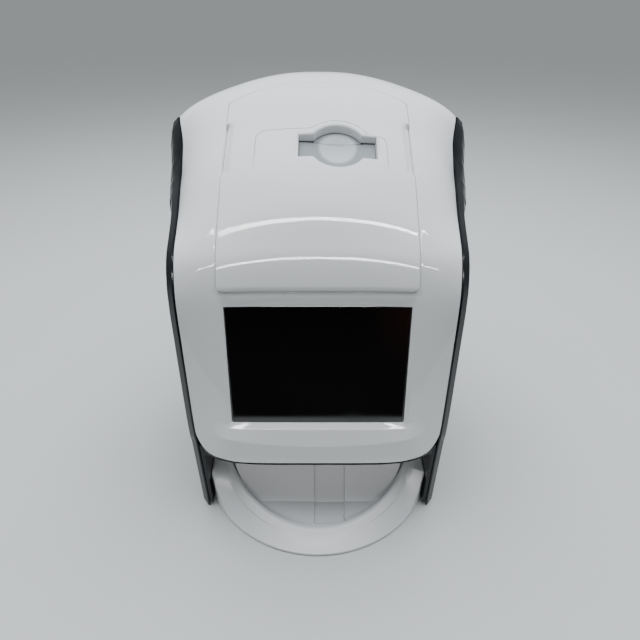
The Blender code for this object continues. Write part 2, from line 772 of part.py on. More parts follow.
def panel_swell(run, z):
    """How far the panel's wall stands out below its upper edge, beside the rear half of the hood."""
    seam = seam_height(run)
    share = run / SIDE_RUN
    along = smooth_step((share - SWELL_START_SHARE) / SWELL_RISE_SHARE) * smooth_step((1 - share) / SWELL_END_SHARE)
    depth = min(max((seam - z - PANEL_BAND) / SWELL_DROP, 0.0), 1.0)
    return PANEL_SWELL * along * (1 - (1 - depth) ** 2) * smooth_step(2 * z / seam)


def wrap_to_side(bm, side):
    """Bend a flat panel, drawn in run, height and outward depth, round the body's plan outline."""
    for vert in bm.verts:
        run, z, out = vert.co
        x, y, angle = side_plan(min(max(run, 0.0), SIDE_RUN))
        if run < 0.0:
            y += run
        reach = out + panel_swell(run, z)
        vert.co = (side * (x + reach * math.cos(angle)), y + reach * math.sin(angle), z)


def evaluated_copy(obj):
    """Mesh of an object with its modifiers, for a piece that is cut flat and bent afterwards."""
    bpy.context.view_layer.update()
    graph = bpy.context.evaluated_depsgraph_get()
    return bpy.data.meshes.new_from_object(obj.evaluated_get(graph))


def panel_outline():
    """Side panel, run against height: the leg, the hood's side edge, the rear seam and the base."""
    chin_height = edge_point(0.0)[1]
    points = [(SIDE_RUN, PANEL_FOOT_GAP), (LEG_SETBACK, PANEL_FOOT_GAP), (LEG_SETBACK, chin_height - CHIN_HEIGHT)]
    for station in HOOD_STATIONS[1:]:
        run, z = edge_point(station)
        if z > chin_height + CHIN_HEIGHT:
            points.append((run, z))
    return points


PANEL_BENDS = 18
PANEL_ROWS = 10
PANEL_ROW_SHARES = (0.62, 0.92)


def grip_plate(name, shrink, thickness, out):
    """Long rounded plate beside the hood's side edge, in run, height and outward depth."""
    radius = GRIP_HEIGHT / 2 - CLEARANCE - shrink
    flat = rounded_rectangle(GRIP_LENGTH - 2 * shrink, GRIP_HEIGHT - 2 * shrink, radius)
    turned = [
        (a * math.cos(GRIP_TILT) - b * math.sin(GRIP_TILT), a * math.sin(GRIP_TILT) + b * math.cos(GRIP_TILT))
        for a, b in flat
    ]
    run = SIDE_RUN * GRIP_RUN_SHARE
    return plate(name, turned, thickness, "Z", (run, seam_height(run) - GRIP_DROP, out))


def build_side_panel(name, side):
    bm = bmesh.new()
    face = bm.faces.new([bm.verts.new((run, z, CLEARANCE)) for run, z in panel_outline()])
    grown = bmesh.ops.extrude_face_region(bm, geom=[face])
    raised = [item for item in grown["geom"] if isinstance(item, bmesh.types.BMVert)]
    bmesh.ops.translate(bm, vec=(0, 0, PANEL_THICKNESS), verts=raised)
    top = [f for f in bm.faces if all(vert in raised for vert in f.verts)][0]
    inner = bmesh.ops.inset_region(bm, faces=[top], thickness=PANEL_BAND, use_even_offset=True)
    rim = {vert for f in inner["faces"] for vert in f.verts} - set(top.verts)
    drop = PANEL_THICKNESS - PANEL_LAND
    bmesh.ops.translate(bm, vec=(0, 0, -drop), verts=list(rim))
    bmesh.ops.recalc_face_normals(bm, faces=bm.faces)
    flat = object_from(bm, name + "_flat")
    grip = grip_plate(name + "_grip", 0.0, 2 * GRIP_PAD_THICKNESS, CLEARANCE + PANEL_THICKNESS)
    combine(flat, grip)
    mesh = evaluated_copy(flat)
    bpy.data.objects.remove(flat)
    bpy.data.objects.remove(grip)
    return bend_round(mesh, name, side, BLACK)


def bend_round(mesh, name, side, material):
    """Cut a flat panel into narrow strips and rows and wrap it on the side's plan outline."""
    bm = bmesh.new()
    bm.from_mesh(mesh)
    bpy.data.meshes.remove(mesh)
    cuts = [((SIDE_RUN * index / PANEL_BENDS, 0, 0), (1, 0, 0)) for index in range(1, PANEL_BENDS)]
    low, high = PANEL_ROW_SHARES
    for row in range(PANEL_ROWS):
        height = BODY_HEIGHT * (low + (high - low) * row / (PANEL_ROWS - 1))
        cuts.append(((0, height, 0), (0, 1, 0)))
    for place, normal in cuts:
        geometry = list(bm.verts) + list(bm.edges) + list(bm.faces)
        bmesh.ops.bisect_plane(bm, geom=geometry, plane_co=place, plane_no=normal, dist=0.00001)
    bmesh.ops.triangulate(bm, faces=[f for f in bm.faces if len(f.verts) > 4])
    wrap_to_side(bm, side)
    bmesh.ops.remove_doubles(bm, verts=bm.verts, dist=0.00001)
    bmesh.ops.triangulate(bm, faces=bm.faces)
    return object_from(bm, name, material, None, SMOOTH)


def build_grip_pad(name, side):
    """White pad in the recess of the side panel, a little below the panel's face."""
    floor = CLEARANCE + PANEL_THICKNESS - GRIP_PAD_THICKNESS
    thickness = GRIP_PAD_THICKNESS - GRIP_DEPTH
    pad = grip_plate(name + "_flat", CLEARANCE, thickness, floor + 2 * CLEARANCE + thickness / 2)
    mesh = evaluated_copy(pad)
    mesh.transform(pad.matrix_world)
    bpy.data.objects.remove(pad)
    return bend_round(mesh, name, side, WHITE)


def bend_rear(mesh, name, material):
    """Wrap a flat panel, drawn in run, height and outward depth, round the rear arc of the body."""
    bm = bmesh.new()
    bm.from_mesh(mesh)
    bpy.data.meshes.remove(mesh)
    reach = REAR_HALF_WIDTH * REAR_SPREAD
    for index in range(1, PANEL_BENDS):
        place = reach * (2 * index / PANEL_BENDS - 1)
        geometry = list(bm.verts) + list(bm.edges) + list(bm.faces)
        bmesh.ops.bisect_plane(bm, geom=geometry, plane_co=(place, 0, 0), plane_no=(1, 0, 0), dist=0.00001)
    bmesh.ops.triangulate(bm, faces=[f for f in bm.faces if len(f.verts) > 4])
    for vert in bm.verts:
        run, z, out = vert.co
        angle = run / REAR_HALF_WIDTH
        radius = REAR_HALF_WIDTH + out
        vert.co = (radius * math.sin(angle), ARC_CENTRE + radius * math.cos(angle), z)
    bmesh.ops.remove_doubles(bm, verts=bm.verts, dist=0.00001)
    return object_from(bm, name, material, None, SMOOTH)


SEAM_HEIGHT = edge_point(len(EDGE_SHARES) - 1)[1]
REAR_OVERLAP = math.radians(3)
REAR_SPREAD = math.radians(90) - SEAM_ANGLE + REAR_OVERLAP
SOCKET_HEIGHT = SOCKET_SILL + SOCKET_SIZE / 2


def rear_frame(name, place):
    """Empty on the rear wall at a run from its middle, with Y along the wall's outward normal."""
    angle = place / REAR_HALF_WIDTH
    frame = bpy.data.objects.new(name, None)
    PARTS.objects.link(frame)
    x, y = REAR_HALF_WIDTH * math.sin(angle), REAR_HALF_WIDTH * math.cos(angle)
    frame.location = (x, ARC_CENTRE + y, SOCKET_HEIGHT)
    frame.rotation_euler = (0, 0, -angle)
    return frame


rocker_frame = rear_frame("rocker_frame", ROCKER_PLACE)
inlet_frame = rear_frame("inlet_frame", 0.0)
network_frame = rear_frame("network_frame", SOCKET_PLACE)


def build_rear_cover():
    """Curved rear wall with two columns of vents and the windows of the switch and the sockets."""
    height = SEAM_HEIGHT - CLEARANCE - PANEL_FOOT_GAP
    flat = box(
        "rear_flat",
        (2 * REAR_HALF_WIDTH * REAR_SPREAD, height, REAR_WALL),
        (0, PANEL_FOOT_GAP + height / 2, -REAR_WALL / 2),
    )
    cuts = []
    for side in (-1, 1):
        for row in range(VENT_COUNT):
            place = (side * (VENT_LENGTH / 2 + VENT_PITCH / 2), SEAM_HEIGHT - VENT_DROP - VENT_PITCH * row, 0)
            outline = rounded_rectangle(VENT_LENGTH, VENT_HEIGHT, VENT_HEIGHT / 2 - CLEARANCE, 3)
            cuts.append(plate(f"vent_{side}_{row}", outline, 4 * REAR_WALL, "Z", place))
    for cut in cuts:
        combine(flat, cut)
    mesh = evaluated_copy(flat)
    mesh.transform(flat.matrix_world)
    for obj in [flat] + cuts:
        bpy.data.objects.remove(obj)
    cover = bend_rear(mesh, "rear_cover", DARK)
    windows = (
        ("rocker_window", rocker_frame, ROCKER_WIDTH, ROCKER_HEIGHT),
        ("inlet_window", inlet_frame, INLET_SIZE, INLET_SIZE),
        ("network_window", network_frame, SOCKET_SIZE, SOCKET_SIZE),
    )
    for name, frame, width, tall in windows:
        size = (width + 2 * CLEARANCE, 2 * FITTING_DEPTH, tall + 2 * CLEARANCE)
        combine(cover, box(name, size, (0, 0, 0), parent=frame))
    return cover


def plan_outline(inset, front):
    """The body's plan outline, drawn in by an inset and cut off straight at the front."""
    points = []
    for index in range(7):
        run = (front - FRONT_EDGE) + (SIDE_LENGTH - (front - FRONT_EDGE)) * index / 6
        x, y, _ = side_plan(run)
        points.append((x - inset, y))
    for index in range(1, 24):
        angle = math.pi * index / 24
        radius = REAR_HALF_WIDTH - inset
        points.append((radius * math.cos(angle), ARC_CENTRE + radius * math.sin(angle)))
    return points + [(-x, y) for x, y in reversed(points[:7])]


BASE_BOTTOM = FOOT_HEIGHT + CLEARANCE
BASE_TOP = BASE_BOTTOM + BASE_THICKNESS


def build_base():
    plate(
        "base_plate", plan_outline(REAR_WALL + CLEARANCE, -BASE_FRONT), BASE_THICKNESS, "Z",
        (0, 0, BASE_BOTTOM + BASE_THICKNESS / 2), DARK,
    )
    for name, x, y in (
        ("foot_front_left", -1, -BASE_FRONT + FOOT_INSET),
        ("foot_front_right", 1, -BASE_FRONT + FOOT_INSET),
        ("foot_rear_left", -1, ARC_CENTRE + FOOT_INSET),
        ("foot_rear_right", 1, ARC_CENTRE + FOOT_INSET),
    ):
        rod(name, FOOT_RADIUS, FOOT_HEIGHT, (x * FOOT_ACROSS, y, FOOT_HEIGHT / 2), "Z", RUBBER)


def build_bay():
    """Inner sides of the front legs, and the wall with the exit mouth that closes the tray bay."""
    tall = edge_point(1.0)[1] - BASE_TOP - CLEARANCE
    low = BASE_TOP + CLEARANCE
    under_chin = edge_point(0.0)[1] - CHIN_HEIGHT - 4 * CLEARANCE
    back = -BAY_FRONT + BAY_LENGTH
    outline = [
        (-BAY_FRONT, low), (back, low), (back, low + tall), (-BAY_FRONT + BAY_SHOULDER, low + tall),
        (-BAY_FRONT + BAY_SHOULDER, under_chin), (-BAY_FRONT, under_chin),
    ]
    for name, side in (("bay_wall_left", -1), ("bay_wall_right", 1)):
        x = side * (TRAY_HALF_WIDTH + CLEARANCE + BAY_WALL / 2)
        plate(name, outline, BAY_WALL, "X", (x, 0, 0), BLACK)
    wall = box(
        "exit_wall",
        (2 * TRAY_HALF_WIDTH, EXIT_WALL, tall),
        (0, -TRAY_BACK + CLEARANCE + EXIT_WALL / 2, BASE_TOP + CLEARANCE + tall / 2),
        WHITE,
    )
    mouth = box(
        "exit_mouth", (GUIDE_WIDTH, 4 * EXIT_WALL, MOUTH_HEIGHT), (SLOT_OFFSET, -TRAY_BACK, BASE_TOP + tall * MOUTH_SHARE)
    )
    combine(wall, mouth)


def tray_edge_height(angle):
    """The rim is low all round the front and rises to a shoulder beside each leg."""
    start, end = math.radians(49), math.radians(61)
    share = min(max((abs(angle) - start) / (end - start), 0.0), 1.0)
    return TRAY_EDGE + (TRAY_SHOULDER - TRAY_EDGE) * share


def tray_section(angle):
    """Cross-section of the rim at an angle from straight ahead, as radius and height."""
    dish_y = -TRAY_CENTRE - DISH_RADIUS * math.cos(angle)
    crest = TRAY_RIM_FRONT + (dish_y + TRAY_CENTRE + DISH_RADIUS) * TRAY_RIM_SLOPE
    edge = tray_edge_height(angle)
    width = TRAY_RADIUS - DISH_RADIUS
    soft = TRAY_EDGE / 2
    return [
        (TRAY_RADIUS, BASE_BOTTOM),
        (TRAY_RADIUS, edge - soft / 2),
        (TRAY_RADIUS - soft / 2, edge),
        (TRAY_RADIUS - 0.5 * width, edge + (crest - edge) * 0.66),
        (DISH_RADIUS + 2 * soft, crest - soft / 4),
        (DISH_RADIUS + soft / 2, crest),
        (DISH_RADIUS, crest - soft / 2),
        (DISH_RADIUS - soft / 2, TRAY_FLOOR + soft),
        (DISH_RADIUS - 2 * soft, TRAY_FLOOR),
        (DISH_RADIUS - 2 * soft, BASE_TOP + CLEARANCE),
        (TRAY_RADIUS - TRAY_WALL, BASE_TOP + CLEARANCE),
        (TRAY_RADIUS - TRAY_WALL, BASE_BOTTOM),
    ]


def build_tray():
    """Round output tray: a lofted rim, a dish with a ramp at its back, and a finger groove."""
    reach = math.acos((TRAY_BACK - TRAY_CENTRE) / TRAY_RADIUS)
    count = 30
    bm = bmesh.new()
    rings = []
    for index in range(count + 1):
        angle = reach * (2 * index / count - 1)
        ring = []
        for radius, z in tray_section(angle):
            point = (radius * math.sin(angle), -TRAY_CENTRE - radius * math.cos(angle), z)
            ring.append(bm.verts.new(point))
        rings.append(ring)
    for first, second in zip(rings, rings[1:]):
        for side in range(len(first)):
            other = (side + 1) % len(first)
            bm.faces.new((first[side], first[other], second[other], second[side]))
    bm.faces.new(rings[0])
    bm.faces.new(reversed(rings[-1]))
    tray = object_from(bm, "output_tray", WHITE, None, SMOOTH)
    limits = box(
        "tray_limits",
        (2 * TRAY_HALF_WIDTH, 2 * (TRAY_RADIUS + TRAY_CENTRE - TRAY_BACK), 4 * TRAY_TOP),
        (0, -TRAY_RADIUS - TRAY_CENTRE, 0),
    )
    limits.location.y = -TRAY_BACK - (TRAY_RADIUS + TRAY_CENTRE - TRAY_BACK)
    combine(tray, limits, "INTERSECT")
    inner = DISH_RADIUS - TRAY_EDGE / 2
    under = BASE_TOP + CLEARANCE
    rise = (RAMP_FOOT - TRAY_BACK) / math.tan(RAMP_LEAN)
    section = [
        (-TRAY_CENTRE - TRAY_RADIUS, under),
        (-TRAY_CENTRE - TRAY_RADIUS, TRAY_FLOOR),
        (-RAMP_FOOT, TRAY_FLOOR),
        (-TRAY_BACK, TRAY_FLOOR + rise),
        (-TRAY_BACK, under),
    ]
    filling = plate("tray_filling", section, 2 * TRAY_RADIUS, "X", (0, 0, 0))
    ring = rod("tray_inside", inner, 4 * TRAY_TOP, (0, -TRAY_CENTRE, 0), "Z", None, None, 2 * count)
    combine(filling, ring, "INTERSECT")
    combine(tray, filling, "UNION")
    slope = math.tan(RAMP_LEAN)
    low = TRAY_FLOOR - GROOVE_DEPTH
    foot = -RAMP_FOOT + GROOVE_DEPTH * math.tan((math.pi / 2 - RAMP_LEAN) / 2)
    rise = 2 * TRAY_TOP
    profile = [
        (-TRAY_CENTRE - DISH_RADIUS + TRAY_EDGE, low),
        (foot, low),
        (foot + rise * slope, low + rise),
        (-TRAY_CENTRE - DISH_RADIUS + TRAY_EDGE, low + rise),
    ]
    groove = plate("tray_groove", profile, GROOVE_WIDTH, "X", (GROOVE_OFFSET, 0, 0))
    combine(tray, groove)
    return tray


def build_screen():
    middle = SCREEN_RISE + SCREEN_HEIGHT / 2
    depth = SCREEN_POCKET_DEPTH
    box(
        "screen_glass", (SCREEN_WIDTH, GLASS_THICKNESS, SCREEN_HEIGHT), (0, depth + GLASS_THICKNESS / 2, middle),
        GLASS, face_frame, 2 * CLEARANCE,
    )
    depth += GLASS_THICKNESS + CLEARANCE
    module_front = HOOD_WALL + SCREEN_SETBACK
    thickness = module_front - CLEARANCE - depth
    gasket = box(
        "screen_gasket",
        (SCREEN_WIDTH - 2 * CLEARANCE, thickness, SCREEN_HEIGHT - 2 * CLEARANCE),
        (0, depth + thickness / 2, middle),
        RUBBER,
        face_frame,
    )
    opening = box(
        "gasket_opening",
        (SCREEN_WIDTH - 4 * SCREEN_RIM, 4 * thickness, SCREEN_HEIGHT - 4 * SCREEN_RIM),
        (0, depth, middle),
        parent=face_frame,
    )
    combine(gasket, opening)
    wide = SCREEN_WIDTH + 2 * DISPLAY_MARGIN
    tall = SCREEN_HEIGHT + 2 * DISPLAY_MARGIN
    box(
        "display_module", (wide, DISPLAY_THICKNESS, tall), (0, module_front + DISPLAY_THICKNESS / 2, middle),
        STEEL, face_frame,
    )
    back = module_front + DISPLAY_THICKNESS + CLEARANCE
    box(
        "display_board",
        (wide - 2 * DISPLAY_MARGIN, DISPLAY_BOARD_THICKNESS, tall - 2 * DISPLAY_MARGIN),
        (0, back + DISPLAY_BOARD_THICKNESS / 2, middle),
        BOARD,
        face_frame,
    )


SHAFT_ACROSS = ROLLER_RADIUS + PATH_GAP / 8
PINCH_ACROSS = -(PINCH_RADIUS + PATH_GAP / 8)
ROLLER_PLACES = [ROLLER_START + ROLLER_PITCH * index for index in range(ROLLER_COUNT)]
IDLER_PLACES = [ROLLER_START + ROLLER_PITCH * (index + 0.5) for index in range(ROLLER_COUNT - 1)]
GEAR_PITCH_RADIUS = ROLLER_PITCH / 4
MODULE = 2 * GEAR_PITCH_RADIUS / GEAR_TEETH
PINION_RADIUS = MODULE * PINION_TEETH / 2
MOTOR_ANGLE = math.radians(40)
MOTOR_ACROSS = SHAFT_ACROSS + (GEAR_PITCH_RADIUS + PINION_RADIUS) * math.cos(MOTOR_ANGLE)
MOTOR_DOWN = ROLLER_PLACES[-1] + (GEAR_PITCH_RADIUS + PINION_RADIUS) * math.sin(MOTOR_ANGLE)
SCAN_DOWN = IDLER_PLACES[-1]
INNER_HALF = CHASSIS_HALF_WIDTH - CHASSIS_THICKNESS / 2
SHELF_TOP = SCAN_DOWN + SCAN_MOTOR_HEIGHT + POLYGON_THICKNESS / 2 + CLEARANCE
TUBE_DOWN = SHELF_TOP + SHELF_THICKNESS + TUBE_RADIUS + 2 * CLEARANCE
GEAR_PLACE = CHASSIS_HALF_WIDTH + CHASSIS_THICKNESS / 2 + CLEARANCE + GEAR_WIDTH / 2


def in_path(x, across, down):
    return (x, across, -down)


def gear_outline(teeth, turn):
    """Spur gear: each tooth is a trapezium between the root and tip circles, thinned for running."""
    radius = MODULE * teeth / 2
    points = []
    for tooth in range(teeth):
        for share, reach in ((-0.30, -1.1), (-0.19, 0.0), (-0.09, 0.9), (0.09, 0.9), (0.19, 0.0), (0.30, -1.1)):
            angle = turn + 2 * math.pi * (tooth + share) / teeth
            points.append(((radius + reach * MODULE) * math.cos(angle), (radius + reach * MODULE) * math.sin(angle)))
    return points


def gear(name, teeth, turn, across, down, bore, material=ACETAL):
    obj = plate(
        name, gear_outline(teeth, turn), GEAR_WIDTH, "X", in_path(GEAR_PLACE, across, down), material, carrier
    )
    if bore:
        hole = rod(name + "_bore", bore, 4 * GEAR_WIDTH, in_path(GEAR_PLACE, across, down), "X", None, carrier, 16)
        combine(obj, hole)
    return obj


carrier = bpy.data.objects.new("path_centre", None)
PARTS.objects.link(carrier)
carrier.parent = path_frame


def chassis_outline():
    """Side plate of the plate path and the optics, in world Y and Z."""
    front, back = -CHASSIS_DEPTH * 0.4, CHASSIS_DEPTH * 0.6
    rear = SHELF_START + SHELF_LENGTH
    low = BASE_TOP + CLEARANCE
    wall = -TRAY_BACK + EXIT_WALL + 2 * CLEARANCE
    corners = [
        path_world(0, front, PATH_TOP + 0.6 * CHASSIS_DEPTH),
        path_world(0, front, SCAN_DOWN + SHAFT_ACROSS),
    ]
    upper = [(corner.y, corner.z) for corner in corners]
    knee = path_world(0, front, SCAN_DOWN + 3 * SHAFT_ACROSS)
    upper.append((wall, knee.z))
    upper.append((wall, low))
    rear_low = path_world(0, rear, SHELF_TOP + 2 * TUBE_RADIUS)
    upper.append((rear_low.y, low))
    for across, down in ((rear, SHELF_TOP + 2 * TUBE_RADIUS), (rear, SHELF_TOP - 1.5 * TUBE_RADIUS)):
        point = path_world(0, across, down)
        upper.append((point.y, point.z))
    for across, down in ((back, PATH_TOP + CHASSIS_DEPTH), (back, PATH_TOP), (0.0, PATH_TOP + 0.25 * CHASSIS_DEPTH)):
        point = path_world(0, across, down)
        upper.append((point.y, point.z))
    return upper


def build_chassis():
    shafts = [(SHAFT_ACROSS, down, SHAFT_RADIUS) for down in ROLLER_PLACES]
    pinch = [(PINCH_ACROSS, down, SHAFT_RADIUS) for down in ROLLER_PLACES]
    idlers = [(SHAFT_ACROSS, down, SHAFT_RADIUS) for down in IDLER_PLACES]
    motor = [(MOTOR_ACROSS, MOTOR_DOWN, MOTOR_SHAFT_RADIUS)]
    for name, side, holes in (
        ("chassis_plate_left", -1, shafts + pinch),
        ("chassis_plate_right", 1, shafts + pinch + idlers + motor),
    ):
        x = SLOT_OFFSET + side * CHASSIS_HALF_WIDTH
        obj = plate(name, chassis_outline(), CHASSIS_THICKNESS, "X", (x, 0, 0), STEEL)
        for index, (across, down, radius) in enumerate(holes):
            hole = rod(
                f"{name}_hole_{index}", radius + CLEARANCE, 4 * CHASSIS_THICKNESS,
                in_path(side * CHASSIS_HALF_WIDTH, across, down), "X", None, carrier, 16,
            )
            combine(obj, hole)
    for index, (across, down) in enumerate(((TIE_ACROSS, TIE_DOWN), (SHELF_START + SHELF_LENGTH / 2, TIE_LOWER_DOWN))):
        rod(
            f"tie_rod_{index + 1}", TIE_RADIUS, 2 * (INNER_HALF - CLEARANCE), in_path(0, across, down), "X",
            STEEL, carrier, 16,
        )


def build_guides():
    """Two flat guides with windows for the rollers; the rear one has the scan slit."""
    for name, side, low, radius, shaft in (
        ("guide_front", -1, PATH_LENGTH, PINCH_RADIUS, PINCH_ACROSS),
        ("guide_rear", 1, PATH_LENGTH + EXIT_LENGTH, ROLLER_RADIUS, SHAFT_ACROSS),
    ):
        across = side * (PATH_GAP / 2 + GUIDE_THICKNESS / 2)
        top = GUIDE_TOP
        guide = box(
            name, (2 * (INNER_HALF - CLEARANCE), GUIDE_THICKNESS, low - top), in_path(0, across, (low + top) / 2),
            STEEL, carrier,
        )
        for index, down in enumerate(ROLLER_PLACES):
            window = box(
                f"{name}_window_{index}",
                (ROLLER_WIDTH + 4 * SHAFT_RADIUS, 8 * GUIDE_THICKNESS, 1.9 * radius),
                in_path(0, across, down),
                parent=carrier,
            )
            combine(guide, window)
        if side > 0:
            slit = box(
                "scan_slit", (COLLECTOR_LENGTH, 8 * GUIDE_THICKNESS, SLIT_HEIGHT), in_path(0, across, SCAN_DOWN),
                parent=carrier,
            )
            combine(guide, slit)


def build_rollers():
    for index, down in enumerate(ROLLER_PLACES):
        number = index + 1
        shaft_end = GEAR_PLACE + GEAR_WIDTH / 2 + CLEARANCE
        shaft_start = -CHASSIS_HALF_WIDTH - CHASSIS_THICKNESS
        rod(
            f"drive_shaft_{number}", SHAFT_RADIUS, shaft_end - shaft_start,
            in_path((shaft_end + shaft_start) / 2, SHAFT_ACROSS, down), "X", STEEL, carrier, 16,
        )
        sleeve = rod(
            f"drive_roller_{number}", ROLLER_RADIUS, ROLLER_WIDTH, in_path(0, SHAFT_ACROSS, down), "X", RUBBER,
            carrier, 24,
        )
        bore = rod(
            f"roller_bore_{number}", SHAFT_RADIUS + CLEARANCE, 2 * ROLLER_WIDTH, in_path(0, SHAFT_ACROSS, down),
            "X", None, carrier, 16,
        )
        combine(sleeve, bore)
        pinch = rod(
            f"pinch_roller_{number}", PINCH_RADIUS, ROLLER_WIDTH, in_path(0, PINCH_ACROSS, down), "X", RUBBER,
            carrier, 20,
        )
        axle = rod(
            f"pinch_axle_{number}", SHAFT_RADIUS, 2 * (CHASSIS_HALF_WIDTH + CHASSIS_THICKNESS / 2),
            in_path(0, PINCH_ACROSS, down), "X", None, carrier, 16,
        )
        combine(pinch, axle, "UNION")
        gear(f"drive_gear_{number}", GEAR_TEETH, 0.0, SHAFT_ACROSS, down, SHAFT_RADIUS + CLEARANCE)
    half_tooth = math.pi / GEAR_TEETH
    for index, down in enumerate(IDLER_PLACES):
        idler = gear(f"idler_gear_{index + 1}", GEAR_TEETH, half_tooth, SHAFT_ACROSS, down, 0.0)
        length = GEAR_WIDTH / 2 + CLEARANCE + 2 * CHASSIS_THICKNESS
        stub = rod(
            f"idler_stub_{index + 1}", SHAFT_RADIUS, length, in_path(GEAR_PLACE - length / 2, SHAFT_ACROSS, down),
            "X", None, carrier, 16,
        )
        combine(idler, stub, "UNION")


def build_motor():
    face = INNER_HALF - CLEARANCE
    motor = rod(
        "drive_motor", MOTOR_RADIUS, MOTOR_LENGTH, in_path(face - MOTOR_LENGTH / 2, MOTOR_ACROSS, MOTOR_DOWN), "X",
        STEEL, carrier, 28,
    )
    bore_depth = MOTOR_LENGTH / 4
    shaft_start = face - bore_depth + CLEARANCE
    bore = rod(
        "motor_bore", MOTOR_SHAFT_RADIUS + CLEARANCE, 2 * bore_depth, in_path(face, MOTOR_ACROSS, MOTOR_DOWN), "X",
        None, carrier, 16,
    )
    combine(motor, bore)
    drive_phase = (-MOTOR_ANGLE * GEAR_TEETH / (2 * math.pi)) % 1.0
    pinion_turn = math.pi - MOTOR_ANGLE + 2 * math.pi * (0.5 + drive_phase) / PINION_TEETH
    pinion = gear("motor_pinion", PINION_TEETH, pinion_turn, MOTOR_ACROSS, MOTOR_DOWN, 0.0)
    end = GEAR_PLACE + GEAR_WIDTH / 4
    shaft = rod(
        "motor_shaft", MOTOR_SHAFT_RADIUS, end - shaft_start,
        in_path((end + shaft_start) / 2, MOTOR_ACROSS, MOTOR_DOWN), "X", None, carrier, 16,
    )
    combine(pinion, shaft, "UNION")


def build_optics():
    """Shelf with the laser and the spinning mirror over it; light guide and light tube below."""
    wide = 2 * (INNER_HALF - CLEARANCE)
    box(
        "optics_shelf", (wide, SHELF_LENGTH, SHELF_THICKNESS),
        in_path(0, SHELF_START + SHELF_LENGTH / 2, SHELF_TOP + SHELF_THICKNESS / 2), DARK, carrier,
    )
    spin = (MIRROR_OFFSET, SHELF_START + SHELF_LENGTH / 2)
    body = rod(
        "scan_motor", SCAN_MOTOR_RADIUS, SCAN_MOTOR_HEIGHT - CLEARANCE,
        in_path(*spin, SHELF_TOP - CLEARANCE / 2 - SCAN_MOTOR_HEIGHT / 2), "Z", DARK, carrier, 32,
    )
    bore = rod(
        "scan_motor_bore", SHAFT_RADIUS + CLEARANCE, SCAN_MOTOR_HEIGHT,
        in_path(*spin, SHELF_TOP - SCAN_MOTOR_HEIGHT), "Z", None, carrier, 16,
    )
    combine(body, bore)
    mirror = rod(
        "polygon_mirror", POLYGON_RADIUS, POLYGON_THICKNESS, in_path(*spin, SCAN_DOWN - CLEARANCE), "Z", MIRROR,
        carrier, POLYGON_SIDES,
    )
    spindle_length = POLYGON_THICKNESS / 2 + SCAN_MOTOR_HEIGHT / 3
    spindle = rod(
        "mirror_spindle", SHAFT_RADIUS, spindle_length, in_path(*spin, SCAN_DOWN + spindle_length / 2), "Z", None,
        carrier, 16,
    )
    combine(mirror, spindle, "UNION")
    box(
        "laser_module", (LASER_SIZE, LASER_LENGTH, LASER_SIZE - 2 * CLEARANCE),
        in_path(-INNER_HALF + LASER_SIZE / 2 + 2 * CLEARANCE, SHELF_START + LASER_LENGTH / 2 + OVERRUN,
                SHELF_TOP - LASER_SIZE / 2), STEEL, carrier, 2 * CLEARANCE,
    )
    tube_across = SHELF_START + TUBE_RADIUS + OVERRUN
    rod(
        "light_tube", TUBE_RADIUS, wide, in_path(0, tube_across, TUBE_DOWN), "X", DARK, carrier, 28,
    )
    near = PATH_GAP / 2 + GUIDE_THICKNESS + CLEARANCE
    reach = TUBE_RADIUS + 2 * CLEARANCE
    corners = [(near, -SCAN_DOWN - SLIT_HEIGHT / 2), (near, -SCAN_DOWN - SLIT_HEIGHT / 2 - COLLECTOR_HEIGHT * 0.6)]
    for degrees in (14, 44):
        angle = math.radians(degrees)
        corners.append((tube_across - reach * math.cos(angle), -TUBE_DOWN + reach * math.sin(angle)))
    plate("light_guide", corners, COLLECTOR_LENGTH, "X", (0, 0, 0), CLEAR, carrier)
    eraser_across = -PATH_GAP / 2 - 2 * GUIDE_THICKNESS - BOARD_THICKNESS
    box(
        "eraser_board", (wide, BOARD_THICKNESS, ERASER_HEIGHT),
        in_path(0, eraser_across, PATH_LENGTH - ERASER_HEIGHT / 2 - CLEARANCE), BOARD, carrier,
    )


def build_electronics():
    low = BASE_TOP + CLEARANCE
    box(
        "main_board", (BOARD_WIDTH, BOARD_THICKNESS, BOARD_HEIGHT), (0, HALF_DEPTH - BOARD_SETBACK, low + BOARD_HEIGHT / 2), BOARD
    )


